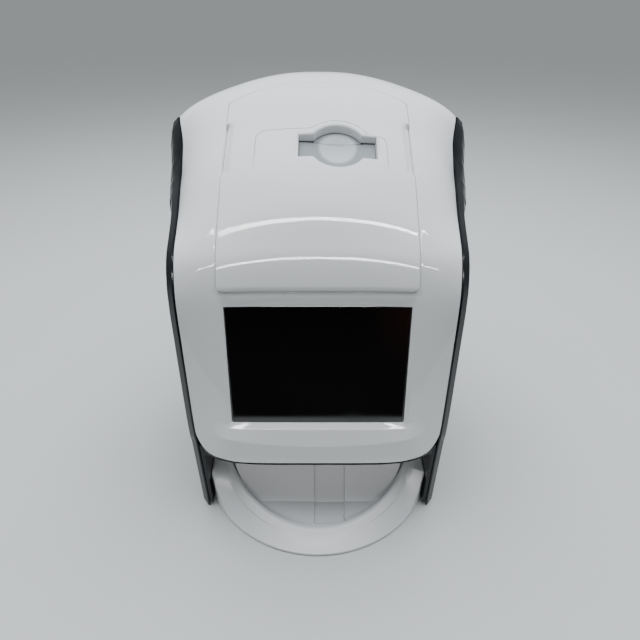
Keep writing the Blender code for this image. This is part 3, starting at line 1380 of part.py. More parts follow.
def build_rear_fittings():
    """Network socket, power inlet and power switch, each set in its window in the rear wall."""
    length = FITTING_DEPTH + FITTING_PROUD
    middle = FITTING_PROUD - length / 2
    network = box("network_socket", (SOCKET_SIZE, length, SOCKET_SIZE), (0, middle, 0), STEEL, network_frame)
    port = box(
        "network_port", (SOCKET_SIZE * 0.76, length, SOCKET_SIZE * 0.55), (0, middle + length / 3, 0),
        parent=network_frame,
    )
    combine(network, port)
    inlet = box("power_inlet", (INLET_SIZE, length, INLET_SIZE), (0, middle, 0), DARK, inlet_frame)
    bore = rod("inlet_bore", INLET_BORE, length, (0, middle + length / 3, 0), "Y", None, inlet_frame, 20)
    combine(inlet, bore)
    pin = rod(
        "inlet_pin", INLET_PIN, 2 * length / 3, (0, middle + length / 6 - CLEARANCE, 0), "Y", None, inlet_frame, 12
    )
    combine(inlet, pin, "UNION")
    housing = box("rocker_housing", (ROCKER_WIDTH, length, ROCKER_HEIGHT), (0, middle, 0), DARK, rocker_frame)
    well_width = ROCKER_WIDTH - 2 * ROCKER_WALL
    well_height = ROCKER_HEIGHT - 2 * ROCKER_WALL
    well = box(
        "rocker_well", (well_width, 2 * ROCKER_DEPTH, well_height), (0, FITTING_PROUD, 0), parent=rocker_frame
    )
    combine(housing, well)
    axis = bpy.data.objects.new("rocker_axis", None)
    PARTS.objects.link(axis)
    axis.parent = rocker_frame
    axis.location = (0, FITTING_PROUD - ROCKER_DEPTH / 2, 0)
    axis.rotation_euler = (0, 0, -ROCKER_TILT)
    half = well_width / 2 - 3 * CLEARANCE
    top = ROCKER_DEPTH / 2 - CLEARANCE
    lift = half * math.tan(ROCKER_TILT)
    outline = [
        (-half, top - lift / 2), (0, top - lift), (half, top - lift / 2),
        (half * 0.7, -top / 2), (-half * 0.7, -top / 2),
    ]
    rocker = plate("power_rocker", outline, well_height - 2 * CLEARANCE, "Z", (0, 0, 0), BLACK, axis)
    pivot = rod("rocker_pivot", ROCKER_WALL / 2, well_height + ROCKER_WALL, (0, 0, 0), "Z", None, axis, 12)
    combine(rocker, pivot, "UNION")
    seat = rod(
        "rocker_pivot_seat", ROCKER_WALL / 2 + CLEARANCE, well_height + ROCKER_WALL + 2 * CLEARANCE, (0, 0, 0), "Z",
        None, axis, 12,
    )
    combine(housing, seat)


build_hood()
build_cover()
build_slot()
build_chin()
for panel_name, panel_side in (("side_panel_right", 1), ("side_panel_left", -1)):
    build_side_panel(panel_name, panel_side)
for pad_name, pad_side in (("grip_pad_right", 1), ("grip_pad_left", -1)):
    build_grip_pad(pad_name, pad_side)
build_rear_cover()
build_base()
build_bay()
build_tray()
build_screen()
build_chassis()
build_guides()
build_rollers()
build_motor()
build_optics()
build_electronics()
build_rear_fittings()
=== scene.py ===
import json
import math

import bmesh
import bpy
from mathutils import Matrix, Vector


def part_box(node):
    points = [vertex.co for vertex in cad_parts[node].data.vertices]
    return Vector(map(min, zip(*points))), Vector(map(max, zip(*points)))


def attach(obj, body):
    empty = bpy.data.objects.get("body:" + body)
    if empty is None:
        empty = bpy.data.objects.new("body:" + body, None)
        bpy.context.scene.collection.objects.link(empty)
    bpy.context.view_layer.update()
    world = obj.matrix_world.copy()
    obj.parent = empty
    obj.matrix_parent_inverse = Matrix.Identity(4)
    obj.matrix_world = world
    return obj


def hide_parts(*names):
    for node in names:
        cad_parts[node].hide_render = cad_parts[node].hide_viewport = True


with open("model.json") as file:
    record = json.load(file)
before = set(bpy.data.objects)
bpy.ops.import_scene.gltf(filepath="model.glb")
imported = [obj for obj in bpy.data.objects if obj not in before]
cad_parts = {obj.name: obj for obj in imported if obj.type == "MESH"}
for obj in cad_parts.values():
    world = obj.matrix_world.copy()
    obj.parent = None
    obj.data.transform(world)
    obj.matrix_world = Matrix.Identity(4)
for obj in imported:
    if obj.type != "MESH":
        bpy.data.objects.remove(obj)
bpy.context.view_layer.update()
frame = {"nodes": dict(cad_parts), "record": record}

nodes = frame["nodes"]
slotOf = {part["node"]: part["material_slot"] for part in frame["record"]["subparts"]}
bodyOf = {node: body for body, members in frame["record"]["behaviour"]["bodies"].items() for node in members}
print("frame loaded:", len(nodes), "nodes")


# Camera, at the height of someone looking down at the screen

cameraSetup = {
    "place": (0.0, -0.2637, 0.285),
    "pitchDown": 34.0,
    "lens": 27.056,
    "sensor": 36.0,
    "shiftX": 0.0034,
    "nearest": 0.01,
}


def setUpCamera():
    data = bpy.data.cameras.new("photoCamera")
    data.sensor_width = cameraSetup["sensor"]
    data.lens = cameraSetup["lens"]
    data.shift_x = cameraSetup["shiftX"]
    data.clip_start = cameraSetup["nearest"]
    camera = addObject("photoCamera", data)
    camera.location = cameraSetup["place"]
    camera.rotation_euler = (math.radians(90 - cameraSetup["pitchDown"]), 0, 0)
    bpy.context.scene.camera = camera


# Small helpers for node trees and meshes

def feed(tree, node, inputs):
    # each input takes the output that is given for it, or else the plain value
    for label, value in inputs.items():
        if isinstance(value, bpy.types.NodeSocket):
            tree.links.new(value, node.inputs[label])
        else:
            node.inputs[label].default_value = value


def addNode(tree, kind, x, y, inputs=None, **settings):
    node = tree.nodes.new("ShaderNode" + kind)
    node.location = (x, y)
    for key, value in settings.items():
        setattr(node, key, value)
    feed(tree, node, inputs or {})
    return node


def makeSurface(name, recipe, look):
    # a recipe adds its nodes to the tree and gives back what goes into the shader
    material = bpy.data.materials.new(name)
    material.use_nodes = True
    tree = material.node_tree
    feed(tree, tree.nodes["Principled BSDF"], recipe(tree, look))
    return material


def newGroup(name, inputs, outputs):
    tree = bpy.data.node_groups.new(name, "ShaderNodeTree")
    for label, value in inputs.items():
        socket = tree.interface.new_socket(name=label, in_out="INPUT", socket_type="NodeSocketFloat")
        socket.default_value = value
    for label in outputs:
        tree.interface.new_socket(name=label, in_out="OUTPUT", socket_type="NodeSocketFloat")
    start, end = tree.nodes.new("NodeGroupInput"), tree.nodes.new("NodeGroupOutput")
    start.location, end.location = (-900, 0), (700, 0)
    return tree, start.outputs, end


def placeGroup(tree, group, x, y, **values):
    return addNode(tree, "Group", x, y, values, node_tree=group).outputs


def objectPlace(tree, x, y):
    return addNode(tree, "TexCoord", x, y).outputs["Object"]


def calculate(tree, operation, first, second, x, y):
    return addNode(tree, "Math", x, y, {0: first, 1: second}, operation=operation).outputs[0]


def noise(tree, place, x, y, **inputs):
    return addNode(tree, "TexNoise", x, y, {"Vector": place, **inputs}).outputs["Fac"]


def remap(tree, source, inputs, x, y, **settings):
    return addNode(tree, "MapRange", x, y, {"Value": source, **inputs}, **settings).outputs["Result"]


def spreadValue(tree, source, low, high):
    return remap(tree, source, {"To Min": low, "To Max": high}, -250, 0)


def mixColours(tree, mask, first, second, x=-250, y=250):
    # the second colour where the mask is white; each is a colour or the output of a node
    inputs = {"Factor": mask}
    for label, colour in (("A", first), ("B", second)):
        inputs[label] = colour if isinstance(colour, bpy.types.NodeSocket) else (*colour, 1.0)
    return addNode(tree, "Mix", x, y, inputs, data_type="RGBA").outputs["Result"]


def roundedNormal(tree, height, radius, distance, strength):
    # a Bump over a Bevel, so that moulded edges catch the light
    corner = addNode(tree, "Bevel", -450, -500, {"Radius": radius}, samples=6).outputs["Normal"]
    inputs = {"Strength": strength, "Distance": distance, "Height": height, "Normal": corner}
    return addNode(tree, "Bump", -220, -450, inputs).outputs["Normal"]


def addObject(name, data):
    piece = bpy.data.objects.new(name, data)
    bpy.context.scene.collection.objects.link(piece)
    return piece


def meshObject(name, bm):
    mesh = bpy.data.meshes.new(name)
    bm.to_mesh(mesh)
    bm.free()
    return addObject(name, mesh)


def shadeSmooth(mesh, sharpAngle):
    mesh.shade_smooth()
    mesh.set_sharp_from_angle(angle=math.radians(sharpAngle))


# Effects that several finishes share

def makeMouldedSkin():
    # the soft waviness of moulded plastic with a finer grain over it
    values = {"Wave": 1.0, "Grain": 0.2, "Scale": 1.0}
    tree, start, end = newGroup("mouldedSkin", values, ["Height", "Mottle"])
    inputs = {0: objectPlace(tree, -900, 300), "Scale": start["Scale"]}
    sized = addNode(tree, "VectorMath", -700, 300, inputs, operation="SCALE").outputs[0]
    wave = noise(tree, sized, -500, 350, Scale=90.0, Detail=2.0)
    grain = noise(tree, sized, -500, 100, Scale=1500.0, Detail=3.0)
    mottle = noise(tree, sized, -500, -150, Scale=22.0, Detail=5.0)
    waveHeight = calculate(tree, "MULTIPLY", wave, start["Wave"], -250, 350)
    grainHeight = calculate(tree, "MULTIPLY", grain, start["Grain"], -250, 150)
    feed(tree, end, {"Height": calculate(tree, "ADD", waveHeight, grainHeight, 0, 250), "Mottle": mottle})
    return tree


def makeDustSpecks():
    # sparse specks, each cell of the pattern holding one at most
    tree, start, end = newGroup("dustSpecks", {"Scale": 300.0, "Size": 0.08, "Share": 0.1}, ["Mask"])
    inputs = {"Vector": objectPlace(tree, -900, 300), "Scale": start["Scale"]}
    cells = addNode(tree, "TexVoronoi", -600, 250, inputs).outputs
    near = calculate(tree, "LESS_THAN", cells["Distance"], start["Size"], -350, 300)
    split = addNode(tree, "SeparateColor", -350, 100, {0: cells["Color"]})
    chosen = calculate(tree, "LESS_THAN", split.outputs[0], start["Share"], -150, 100)
    feed(tree, end, {"Mask": calculate(tree, "MULTIPLY", near, chosen, 100, 200)})
    return tree


def makeEdgeWear():
    # convex edges, broken up by noise, where handling has polished or dulled the finish
    tree, start, end = newGroup("edgeWear", {"Low": 0.52, "High": 0.62, "Breakup": 60.0}, ["Mask"])
    shape = addNode(tree, "NewGeometry", -900, 300).outputs["Pointiness"]
    edge = remap(tree, shape, {"From Min": start["Low"], "From Max": start["High"]}, -600, 300)
    patches = noise(tree, objectPlace(tree, -900, -200), -600, -100, Detail=6.0, Scale=start["Breakup"])
    feed(tree, end, {"Mask": calculate(tree, "MULTIPLY", edge, patches, -200, 150)})
    return tree


def makeHandling():
    # faint smears where hands and cloths have gone over a surface
    tree, start, end = newGroup("handling", {"Scale": 9.0, "Stretch": 3.0}, ["Mask"])
    place = objectPlace(tree, -900, 300)
    pull = addNode(tree, "CombineXYZ", -700, 100, {"X": start["Stretch"], "Y": 1.0, "Z": 1.0}).outputs[0]
    spread = addNode(tree, "VectorMath", -500, 250, {0: place, 1: pull}, operation="MULTIPLY").outputs[0]
    smear = noise(tree, spread, -300, 250, Scale=start["Scale"], Detail=7.0, Distortion=1.6)
    feed(tree, end, {"Mask": remap(tree, smear, {"From Min": 0.45, "From Max": 0.75}, 0, 250)})
    return tree


mouldedSkin = makeMouldedSkin()
dustSpecks = makeDustSpecks()
edgeWear = makeEdgeWear()
handling = makeHandling()


def placeSkin(tree, **values):
    return placeGroup(tree, mouldedSkin, -800, -300, **values)


# Plastics

whiteLook = {
    "colour": (0.765, 0.775, 0.775),
    "shade": (0.745, 0.755, 0.757),
    "smooth": 0.012,
    "smeared": 0.030,
    "edge": 0.0004,
}

greyLook = {
    "colour": (0.50, 0.52, 0.53),
    "shade": (0.47, 0.49, 0.50),
    "smooth": 0.12,
    "smeared": 0.20,
    "edge": 0.0004,
}

# painted shade: the slot's pieces are coloured a darker grey than their grey plastic, standing in for the
# shade inside the recess
slotShadedLook = {
    "colour": (0.27, 0.290, 0.300),
    "shade": (0.25, 0.270, 0.280),
    # painted light: the paler grey of the bowl's up-facing lower side
    "bowl": (0.50, 0.525, 0.535),
    "smooth": 0.05,
    "smeared": 0.10,
    "edge": 0.0004,
    "bowlLightCentre": (0.0106, 0.002, 0.217),
    "bowlLightRadius": (0.0085, 0.0115),
}

trayLook = {
    "colour": (0.70, 0.71, 0.715),
    "shade": (0.67, 0.68, 0.69),
    "smooth": 0.34,
    "smeared": 0.42,
    "edge": 0.0006,
}

blackLook = {
    "colour": (0.004, 0.005, 0.007),
    "worn": (0.020, 0.022, 0.026),
    "smooth": 0.16,
    "smeared": 0.24,
    "edge": 0.0005,
}

satinLook = {
    "colour": (0.026, 0.026, 0.029),
    "worn": (0.06, 0.06, 0.064),
    "smooth": 0.38,
    "rough": 0.55,
    "edge": 0.0005,
}

dustColour = (0.35, 0.34, 0.33)


def whitePlastic(tree, look):
    skin = placeSkin(tree, Wave=0.35, Grain=0.01, Scale=1.0)
    touch = placeGroup(tree, handling, -800, 100, Scale=8.0, Stretch=2.0)
    specks = placeGroup(tree, dustSpecks, -800, 400, Scale=160.0, Size=0.03, Share=0.05)
    base = mixColours(tree, skin["Mottle"], look["shade"], look["colour"], -500, 300)
    return {
        "Base Color": mixColours(tree, specks["Mask"], base, dustColour, -250, 350),
        "Roughness": spreadValue(tree, touch["Mask"], look["smooth"], look["smeared"]),
        "Normal": roundedNormal(tree, skin["Height"], look["edge"], distance=0.0002, strength=0.06),
        "IOR": 1.52,
        "Subsurface Weight": 0.04,
        "Subsurface Radius": (0.004, 0.004, 0.004),
    }


def slotPlastic(tree, look):
    # grey plastic darkened as painted shade for the slot's recess, with a paler patch in the bowl that is
    # painted light, where the bowl's lower side faces up into the light
    inputs = whitePlastic(tree, look)
    ends = {0: objectPlace(tree, -1300, 700), 1: look["bowlLightCentre"]}
    away = addNode(tree, "VectorMath", -1100, 700, ends, operation="DISTANCE").outputs["Value"]
    near, far = look["bowlLightRadius"]
    reach = {"From Min": far, "From Max": near}
    # painted light: the mask named polished holds the paler patch painted where the bowl's lower side catches
    # the light
    polished = remap(tree, away, reach, -900, 700, interpolation_type="SMOOTHSTEP")
    inputs["Base Color"] = mixColours(tree, polished, inputs["Base Color"], look["bowl"], -50, 500)
    return inputs


def blackGloss(tree, look):
    skin = placeSkin(tree, Wave=0.6, Grain=0.03, Scale=0.8)
    touch = placeGroup(tree, handling, -800, 100, Scale=7.0, Stretch=1.0)
    worn = placeGroup(tree, edgeWear, -800, 400, Low=0.53, High=0.66, Breakup=45.0)
    return {
        "Base Color": mixColours(tree, worn["Mask"], look["colour"], look["worn"]),
        "Roughness": spreadValue(tree, touch["Mask"], look["smooth"], look["smeared"]),
        "Normal": roundedNormal(tree, skin["Height"], look["edge"], distance=0.0004, strength=0.10),
        "IOR": 1.53,
        "Specular IOR Level": 0.25,
    }


def darkSatin(tree, look):
    skin = placeSkin(tree, Wave=0.1, Grain=1.0, Scale=1.0)
    worn = placeGroup(tree, edgeWear, -800, 400, Low=0.52, High=0.64, Breakup=70.0)
    return {
        "Base Color": mixColours(tree, worn["Mask"], look["colour"], look["worn"]),
        "Roughness": spreadValue(tree, skin["Mottle"], look["smooth"], look["rough"]),
        "Normal": roundedNormal(tree, skin["Height"], look["edge"], distance=0.0003, strength=0.35),
    }


# Screen

glassLook = {
    "deep": (0.0012, 0.0011, 0.0013),
    "warm": (0.010, 0.0035, 0.0030),
    "warmAcross": 0.72,
    "warmUp": 0.40,
    "dust": (0.50, 0.49, 0.48),
    "smooth": 0.03,
    "smeared": 0.09,
}


def screenGlass(tree, look):
    # black glass over an unlit display, warmer towards the upper right corner, with a few specks of dust
    low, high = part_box("screen_glass")
    split = addNode(tree, "SeparateXYZ", -950, 300, {0: objectPlace(tree, -1100, 300)}).outputs
    warmth = []
    for axis, share, y in ((0, look["warmAcross"], 400), (2, look["warmUp"], 150)):
        span = {"From Min": low[axis] + share * (high[axis] - low[axis]), "From Max": high[axis]}
        warmth.append(remap(tree, split[axis], span, -780, y, interpolation_type="SMOOTHSTEP"))
    glow = calculate(tree, "MULTIPLY", *warmth, -600, 300)
    base = mixColours(tree, glow, look["deep"], look["warm"], -450, 300)
    specks = placeGroup(tree, dustSpecks, -800, -100, Scale=110.0, Size=0.045, Share=0.10)
    touch = placeGroup(tree, handling, -800, -350, Scale=12.0, Stretch=1.5)
    return {
        "Base Color": mixColours(tree, specks["Mask"], base, look["dust"], -250, 300),
        "Roughness": spreadValue(tree, touch["Mask"], look["smooth"], look["smeared"]),
        "IOR": 1.75,
    }


# Rubber, metals and the rest

rubberLook = {
    "colour": (0.018, 0.018, 0.019),
    "other": (0.05, 0.05, 0.05),
    "rough": (0.65, 0.9),
    "skin": {"Wave": 0.2, "Grain": 1.0, "Scale": 0.6},
    "bump": {"radius": 0.0003, "distance": 0.0004, "strength": 0.4},
}

acetalLook = {
    "colour": (0.70, 0.69, 0.64),
    "other": (0.78, 0.77, 0.73),
    "rough": (0.32, 0.48),
    "skin": {"Wave": 0.4, "Grain": 0.3, "Scale": 1.2},
    "bump": {"radius": 0.0002, "distance": 0.0002, "strength": 0.2},
}

guideLook = {
    "colour": (0.58, 0.68, 0.82),
    "other": (0.66, 0.75, 0.88),
    "rough": (0.03, 0.10),
    "skin": {"Wave": 0.3, "Grain": 0.1, "Scale": 1.0},
    "clear": {"Transmission Weight": 0.8, "IOR": 1.49},
}

steelLook = {"colour": (0.55, 0.56, 0.58), "rough": 0.30}
mirrorLook = {"colour": (0.85, 0.86, 0.88), "rough": 0.06}

boardLook = {
    "mask": (0.018, 0.11, 0.045, 1.0),
    "otherMask": (0.022, 0.13, 0.055, 1.0),
    "runs": (0.03, 0.19, 0.07, 1.0),
    "rough": (0.28, 0.42),
}


def mottledPlastic(tree, look):
    skin = placeSkin(tree, **look["skin"])
    inputs = {
        "Base Color": mixColours(tree, skin["Mottle"], look["colour"], look["other"]),
        "Roughness": spreadValue(tree, skin["Mottle"], *look["rough"]),
        **look.get("clear", {}),
    }
    if "bump" in look:
        inputs["Normal"] = roundedNormal(tree, skin["Height"], **look["bump"])
    return inputs


def brushedSteel(tree, look):
    inputs = {"Vector": objectPlace(tree, -1100, 0), "Scale": (30.0, 900.0, 900.0)}
    pull = addNode(tree, "Mapping", -900, 0, inputs).outputs["Vector"]
    brushing = noise(tree, pull, -700, 0, Detail=4.0, Scale=1.0)
    worn = placeGroup(tree, edgeWear, -800, 400, Low=0.52, High=0.62, Breakup=80.0)
    lighter = tuple(min(1.0, value * 1.3) for value in look["colour"])
    return {
        "Base Color": mixColours(tree, worn["Mask"], look["colour"], lighter),
        "Roughness": spreadValue(tree, brushing, look["rough"] * 0.7, look["rough"] * 1.3),
        "Normal": roundedNormal(tree, brushing, radius=0.0003, distance=0.0001, strength=0.25),
        "Metallic": 1.0,
    }


def solderMask(tree, look):
    # green board with faint copper runs under the mask
    colours = {"Color1": look["mask"], "Color2": look["otherMask"], "Mortar": look["runs"]}
    inputs = {"Vector": objectPlace(tree, -1100, 0), "Scale": 220.0, **colours}
    runs = addNode(tree, "TexBrick", -800, 0, inputs).outputs
    skin = placeSkin(tree, Wave=0.2, Grain=0.2, Scale=1.0)
    return {
        "Base Color": runs["Color"],
        "Roughness": spreadValue(tree, skin["Mottle"], *look["rough"]),
        "Normal": roundedNormal(tree, runs["Fac"], radius=0.0002, distance=0.00005, strength=0.4),
    }


def makeFinishes():
    recipes = {
        "white_gloss_plastic": (whitePlastic, "whiteGlossPlastic", whiteLook),
        "light_grey_plastic": (whitePlastic, "lightGreyPlastic", greyLook),
        "traySatin": (whitePlastic, "satinWhitePlastic", trayLook),
        "slotGreyPaintedShade": (slotPlastic, "slotGreyPaintedShadePlastic", slotShadedLook),
        "black_gloss_plastic": (blackGloss, "blackGlossPlastic", blackLook),
        "dark_satin_plastic": (darkSatin, "darkSatinPlastic", satinLook),
        "screen_glass": (screenGlass, "screenGlass", glassLook),
        "black_rubber": (mottledPlastic, "blackRubber", rubberLook),
        "steel": (brushedSteel, "zincedSteel", steelLook),
        "acetal": (mottledPlastic, "creamAcetal", acetalLook),
        "mirror_aluminium": (brushedSteel, "polishedFacets", mirrorLook),
        "circuit_board": (solderMask, "solderMask", boardLook),
        "light_guide": (mottledPlastic, "clearGuide", guideLook),
    }
    return {slot: makeSurface(name, recipe, look) for slot, (recipe, name, look) in recipes.items()}


def dressNodes(finishes):
    for name, obj in nodes.items():
        obj.data.materials.clear()
        obj.data.materials.append(finishes[slotOf[name]])


# White hood, drawn as a fine sheet over the form that the solids follow

hoodForm = {
    "height": 0.2456,
    "halfDepth": 0.100,
    "frontHalfWidth": 0.072,
    "rearHalfWidth": 0.0776,
    "frontEdge": -0.066,
    "faceTop": 4.0,
    "sidePower": 1.5,
    "cornerFlare": 0.0062,
    "cornerPlace": 0.735,
    "cornerSpread": 0.15,
    "seamAngle": math.radians(45),
    "chinRadius": 0.011,
    "shoulderPower": 10.0,
    "wall": 0.0032,
    "lipRadius": 0.0006,
    "centre": [
        (-0.800, 0.2523), (-0.769, 0.3089), (-0.719, 0.3989), (-0.643, 0.5373), (-0.584, 0.6431),
        (-0.530, 0.7146), (-0.470, 0.7570), (-0.365, 0.8099), (-0.220, 0.8571), (-0.066, 0.8934),
        (0.090, 0.9251), (0.275, 0.9605), (0.480, 0.9856), (0.660, 1.0000), (0.820, 0.9912),
        (0.940, 0.9538), (0.990, 0.8913), (0.998, 0.7936),
    ],
    "edge": [
        (0.0000, 0.2523), (0.0020, 0.3089), (0.0154, 0.3989), (0.0388, 0.5291), (0.0603, 0.6329),
        (0.0971, 0.6899), (0.1507, 0.7269), (0.2343, 0.7505), (0.3281, 0.7717), (0.4218, 0.7969),
        (0.5156, 0.8245), (0.6026, 0.8750), (0.6836, 0.9194), (0.7807, 0.9036), (0.8624, 0.8852),
        (0.9267, 0.8588), (0.9736, 0.8262), (1.0000, 0.7936),
    ],
    "shoulder": [1.0] * 7 + [0.85, 0.62, 0.52, 0.52, 0.62, 0.74, 0.80, 0.85, 0.90, 1.0, 1.0],
    "crown": [6.0, 6.0, 5.5, 5.0, 4.0, 3.0, 2.4, 2.1, 2.0, 2.0, 2.0, 2.2, 2.4, 2.5, 2.5, 2.4, 2.3, 2.2],
}

coverForm = {
    "halfWidth": 0.0505,
    "thickness": 0.0024,
    "start": 4.25,
    "end": 12.1,
    "endCurve": 0.75,
    "corner": 0.0035,
    "lift": 0.0016,
    "liftFade": 3.0,
    "curl": 0.0013,
    "curlLength": 0.0030,
    "gap": 0.0003,
    "seatInset": 0.005,
    "edgeRadius": 0.0007,
    "notchStart": 8.4,
    "notchEnd": 10.4,
    "notchWidth": 0.0046,
    "notchDepth": 0.0022,
    "notchRamp": 0.0016,
    "notchStop": 0.2,
    "notchWall": 0.0003,
}

screenForm = {
    "width": 0.095,
    "heightShare": 0.7012,
    "riseShare": 0.2663,
    "gap": 0.0003,
    "chamferSide": 0.0022,
    "chamferLow": 0.0032,
    "chamferHigh": 0.0050,
    "edgeDepth": 0.0014,
    "edgeShallower": 0.0007,
    "creaseSide": 0.0072,
    "creaseLow": 0.0135,
    "creaseBow": 0.0038,
    "creaseHigh": 0.0062,
    "sideRidge": 0.0004,
    "lowRidge": 0.0026,
    "chamferRidge": 0.0010,
    "ridgeFade": 0.012,
    "ridgeFadeStart": 0.3,
}

# How finely the hood is drawn: rows up its face, round the cover and over the back, then columns
hoodGrid = {
    "chinRises": [0.0, 0.0004, 0.0010, 0.0018, 0.0028, 0.0040, 0.0055, 0.0070, 0.0085, 0.0100],
    "underStep": 0.0005,
    "underSteps": range(29, 7, -1),
    "chamferStep": 0.001,
    "chamferSteps": (3.6, 3.3, 3.1, 2.8, 1.9, 0.9, 0.0),
    "screenRows": 12,
    "browRows": 8,
    "browShares": (0.6, 0.3, 0.1, 0.0),
    "tuckStart": 3.95,
    "sliver": 0.00002,
    "cornerShares": (0.05, 0.15, 0.3, 0.5, 0.75, 1.0),
    "coverRows": 56,
    "backShares": (0.1, 0.3, 0.6, 1.0),
    "backRows": 44,
    "backPower": 1.15,
    "backStart": 0.0003,
    "innerStep": 0.08,
    "innerColumns": 12,
    "besideScreen": (0.0, 0.012, 0.026, 0.0425),
    "lastInner": 0.9985,
    "offStep": 0.0001,
    "offSteps": (1, 2, 4, 6, 10, 18, 27, 36, 45, 58, 75),
    "outStart": 0.0075,
    "outColumns": 14,
    "holeSlack": 0.001,
}

coverGrid = {
    "insets": [0.0, 0.0001, 0.0002, 0.0004, 0.0007, 0.0012, 0.0020, 0.0032, 0.0045, 0.0049, 0.0051, 0.0060],
    "columnStep": 0.0015,
    "columns": 28,
    "firstSteps": [0.0, 0.0001, 0.0003, 0.0006, 0.0010, 0.0015, 0.0021, 0.0028, 0.0035],
    "rows": 90,
    "lastSteps": (0.0030, 0.0012, 0.0007, 0.0004, 0.0002, 0.0001, 0.0),
}


def throughRow(values, place):
    # a smooth curve through a row of values; place counts from 0 to the last of them
    last = len(values) - 1
    index = min(int(place), last - 1)
    t = place - index
    before, start = values[max(index - 1, 0)], values[index]
    end, after = values[index + 1], values[min(index + 2, last)]
    square, cube = t * t, t * t * t
    return (
        start * (2 * cube - 3 * square + 1)
        + (end - before) / 2 * (cube - 2 * square + t)
        + end * (3 * square - 2 * cube)
        + (after - start) / 2 * (cube - square)
    )


def smoothStep(share):
    share = min(max(share, 0.0), 1.0)
    return share * share * (3 - 2 * share)


arcLength = hoodForm["rearHalfWidth"] * hoodForm["seamAngle"]
arcCentre = hoodForm["halfDepth"] - hoodForm["rearHalfWidth"]
sideLength = arcCentre - hoodForm["frontEdge"]
sideRun = sideLength + arcLength
lastStation = len(hoodForm["centre"]) - 1
centreColumns = [[row[axis] for row in hoodForm["centre"]] for axis in (0, 1)]
edgeColumns = [[row[axis] for row in hoodForm["edge"]] for axis in (0, 1)]


def sidePlan(run):
    # right side of the plan outline at a run from the front edge
    form = hoodForm
    spread = 1.0 - abs(run / sideRun - form["cornerPlace"]) / form["cornerSpread"]
    flare = form["cornerFlare"] * smoothStep(spread)
    if run <= sideLength:
        widening = smoothStep(run / sideLength) ** form["sidePower"]
        x = form["frontHalfWidth"] + (form["rearHalfWidth"] - form["frontHalfWidth"]) * widening
        return x + flare, form["frontEdge"] + run
    angle = (run - sideLength) / form["rearHalfWidth"]
    radius = form["rearHalfWidth"] + flare
    return radius * math.cos(angle), arcCentre + radius * math.sin(angle)


def hoodRow(station):
    # what every point of one station shares
    y = throughRow(centreColumns[0], station) * hoodForm["halfDepth"]
    z = throughRow(centreColumns[1], station) * hoodForm["height"]
    run = max(throughRow(edgeColumns[0], station) * sideRun, 0.0)
    edgeZ = throughRow(edgeColumns[1], station) * hoodForm["height"]
    edgeX, edgeY = sidePlan(run)
    crown = throughRow(hoodForm["crown"], station)
    arch = throughRow(hoodForm["shoulder"], station)
    return y, z, edgeX, edgeY, edgeZ, crown, arch


def pointOnRow(row, x):
    y, z, edgeX, edgeY, edgeZ, crown, arch = row
    reach = min(abs(x) / edgeX, 1.0)
    fall = reach**crown
    drop = arch * fall + (1.0 - arch) * reach ** hoodForm["shoulderPower"]
    return Vector((x, y + (edgeY - y) * fall, z + (edgeZ - z) * drop))


def hoodPoint(station, x):
    return pointOnRow(hoodRow(station), x)


def hoodNormal(station, x):
    step = 0.01
    low, high = max(station - step, 0.0), min(station + step, lastStation)
    along = hoodPoint(high, x) - hoodPoint(low, x)
    half = step * hoodForm["frontHalfWidth"]
    row = hoodRow(station)
    across = pointOnRow(row, x + half) - pointOnRow(row, x - half)
    return across.cross(along).normalized()


def hoodHalfWidth(station):
    # drawn in round the two chin corners
    row = hoodRow(station)
    radius = hoodForm["chinRadius"]
    rise = row[4] - hoodRow(0.0)[4]
    if rise >= radius:
        return row[2]
    return row[2] - radius + math.sqrt(max(radius**2 - (radius - rise) ** 2, 0.0))


def stationLength(station):
    return (hoodPoint(station + 0.5, 0.0) - hoodPoint(station - 0.5, 0.0)).length


faceLow = hoodPoint(0.0, 0.0)
faceHigh = hoodPoint(hoodForm["faceTop"], 0.0)
faceUp = (faceHigh - faceLow).normalized()
faceLength = (faceHigh - faceLow).length
screenLow = faceLength * screenForm["riseShare"]
screenHigh = screenLow + faceLength * screenForm["heightShare"]
coverUnit = stationLength(coverForm["start"])
screenHalf = screenForm["width"] / 2 + screenForm["gap"]


def stationAtRise(rise):
    # the station where the front face has come up by a length
    low, high = 0.0, hoodForm["faceTop"] + 1.0
    for _ in range(30):
        middle = (low + high) / 2
        if (hoodPoint(middle, 0.0) - faceLow).dot(faceUp) < rise:
            low = middle
        else:
            high = middle
    return (low + high) / 2


def roundFall(place, radius):
    share = 1.0 - min(max(place / radius, 0.0), 1.0)
    return 1.0 - math.sqrt(1.0 - share * share)


def coverTop(share, margin):
    return coverForm["end"] - coverForm["endCurve"] * share * share + margin / coverUnit


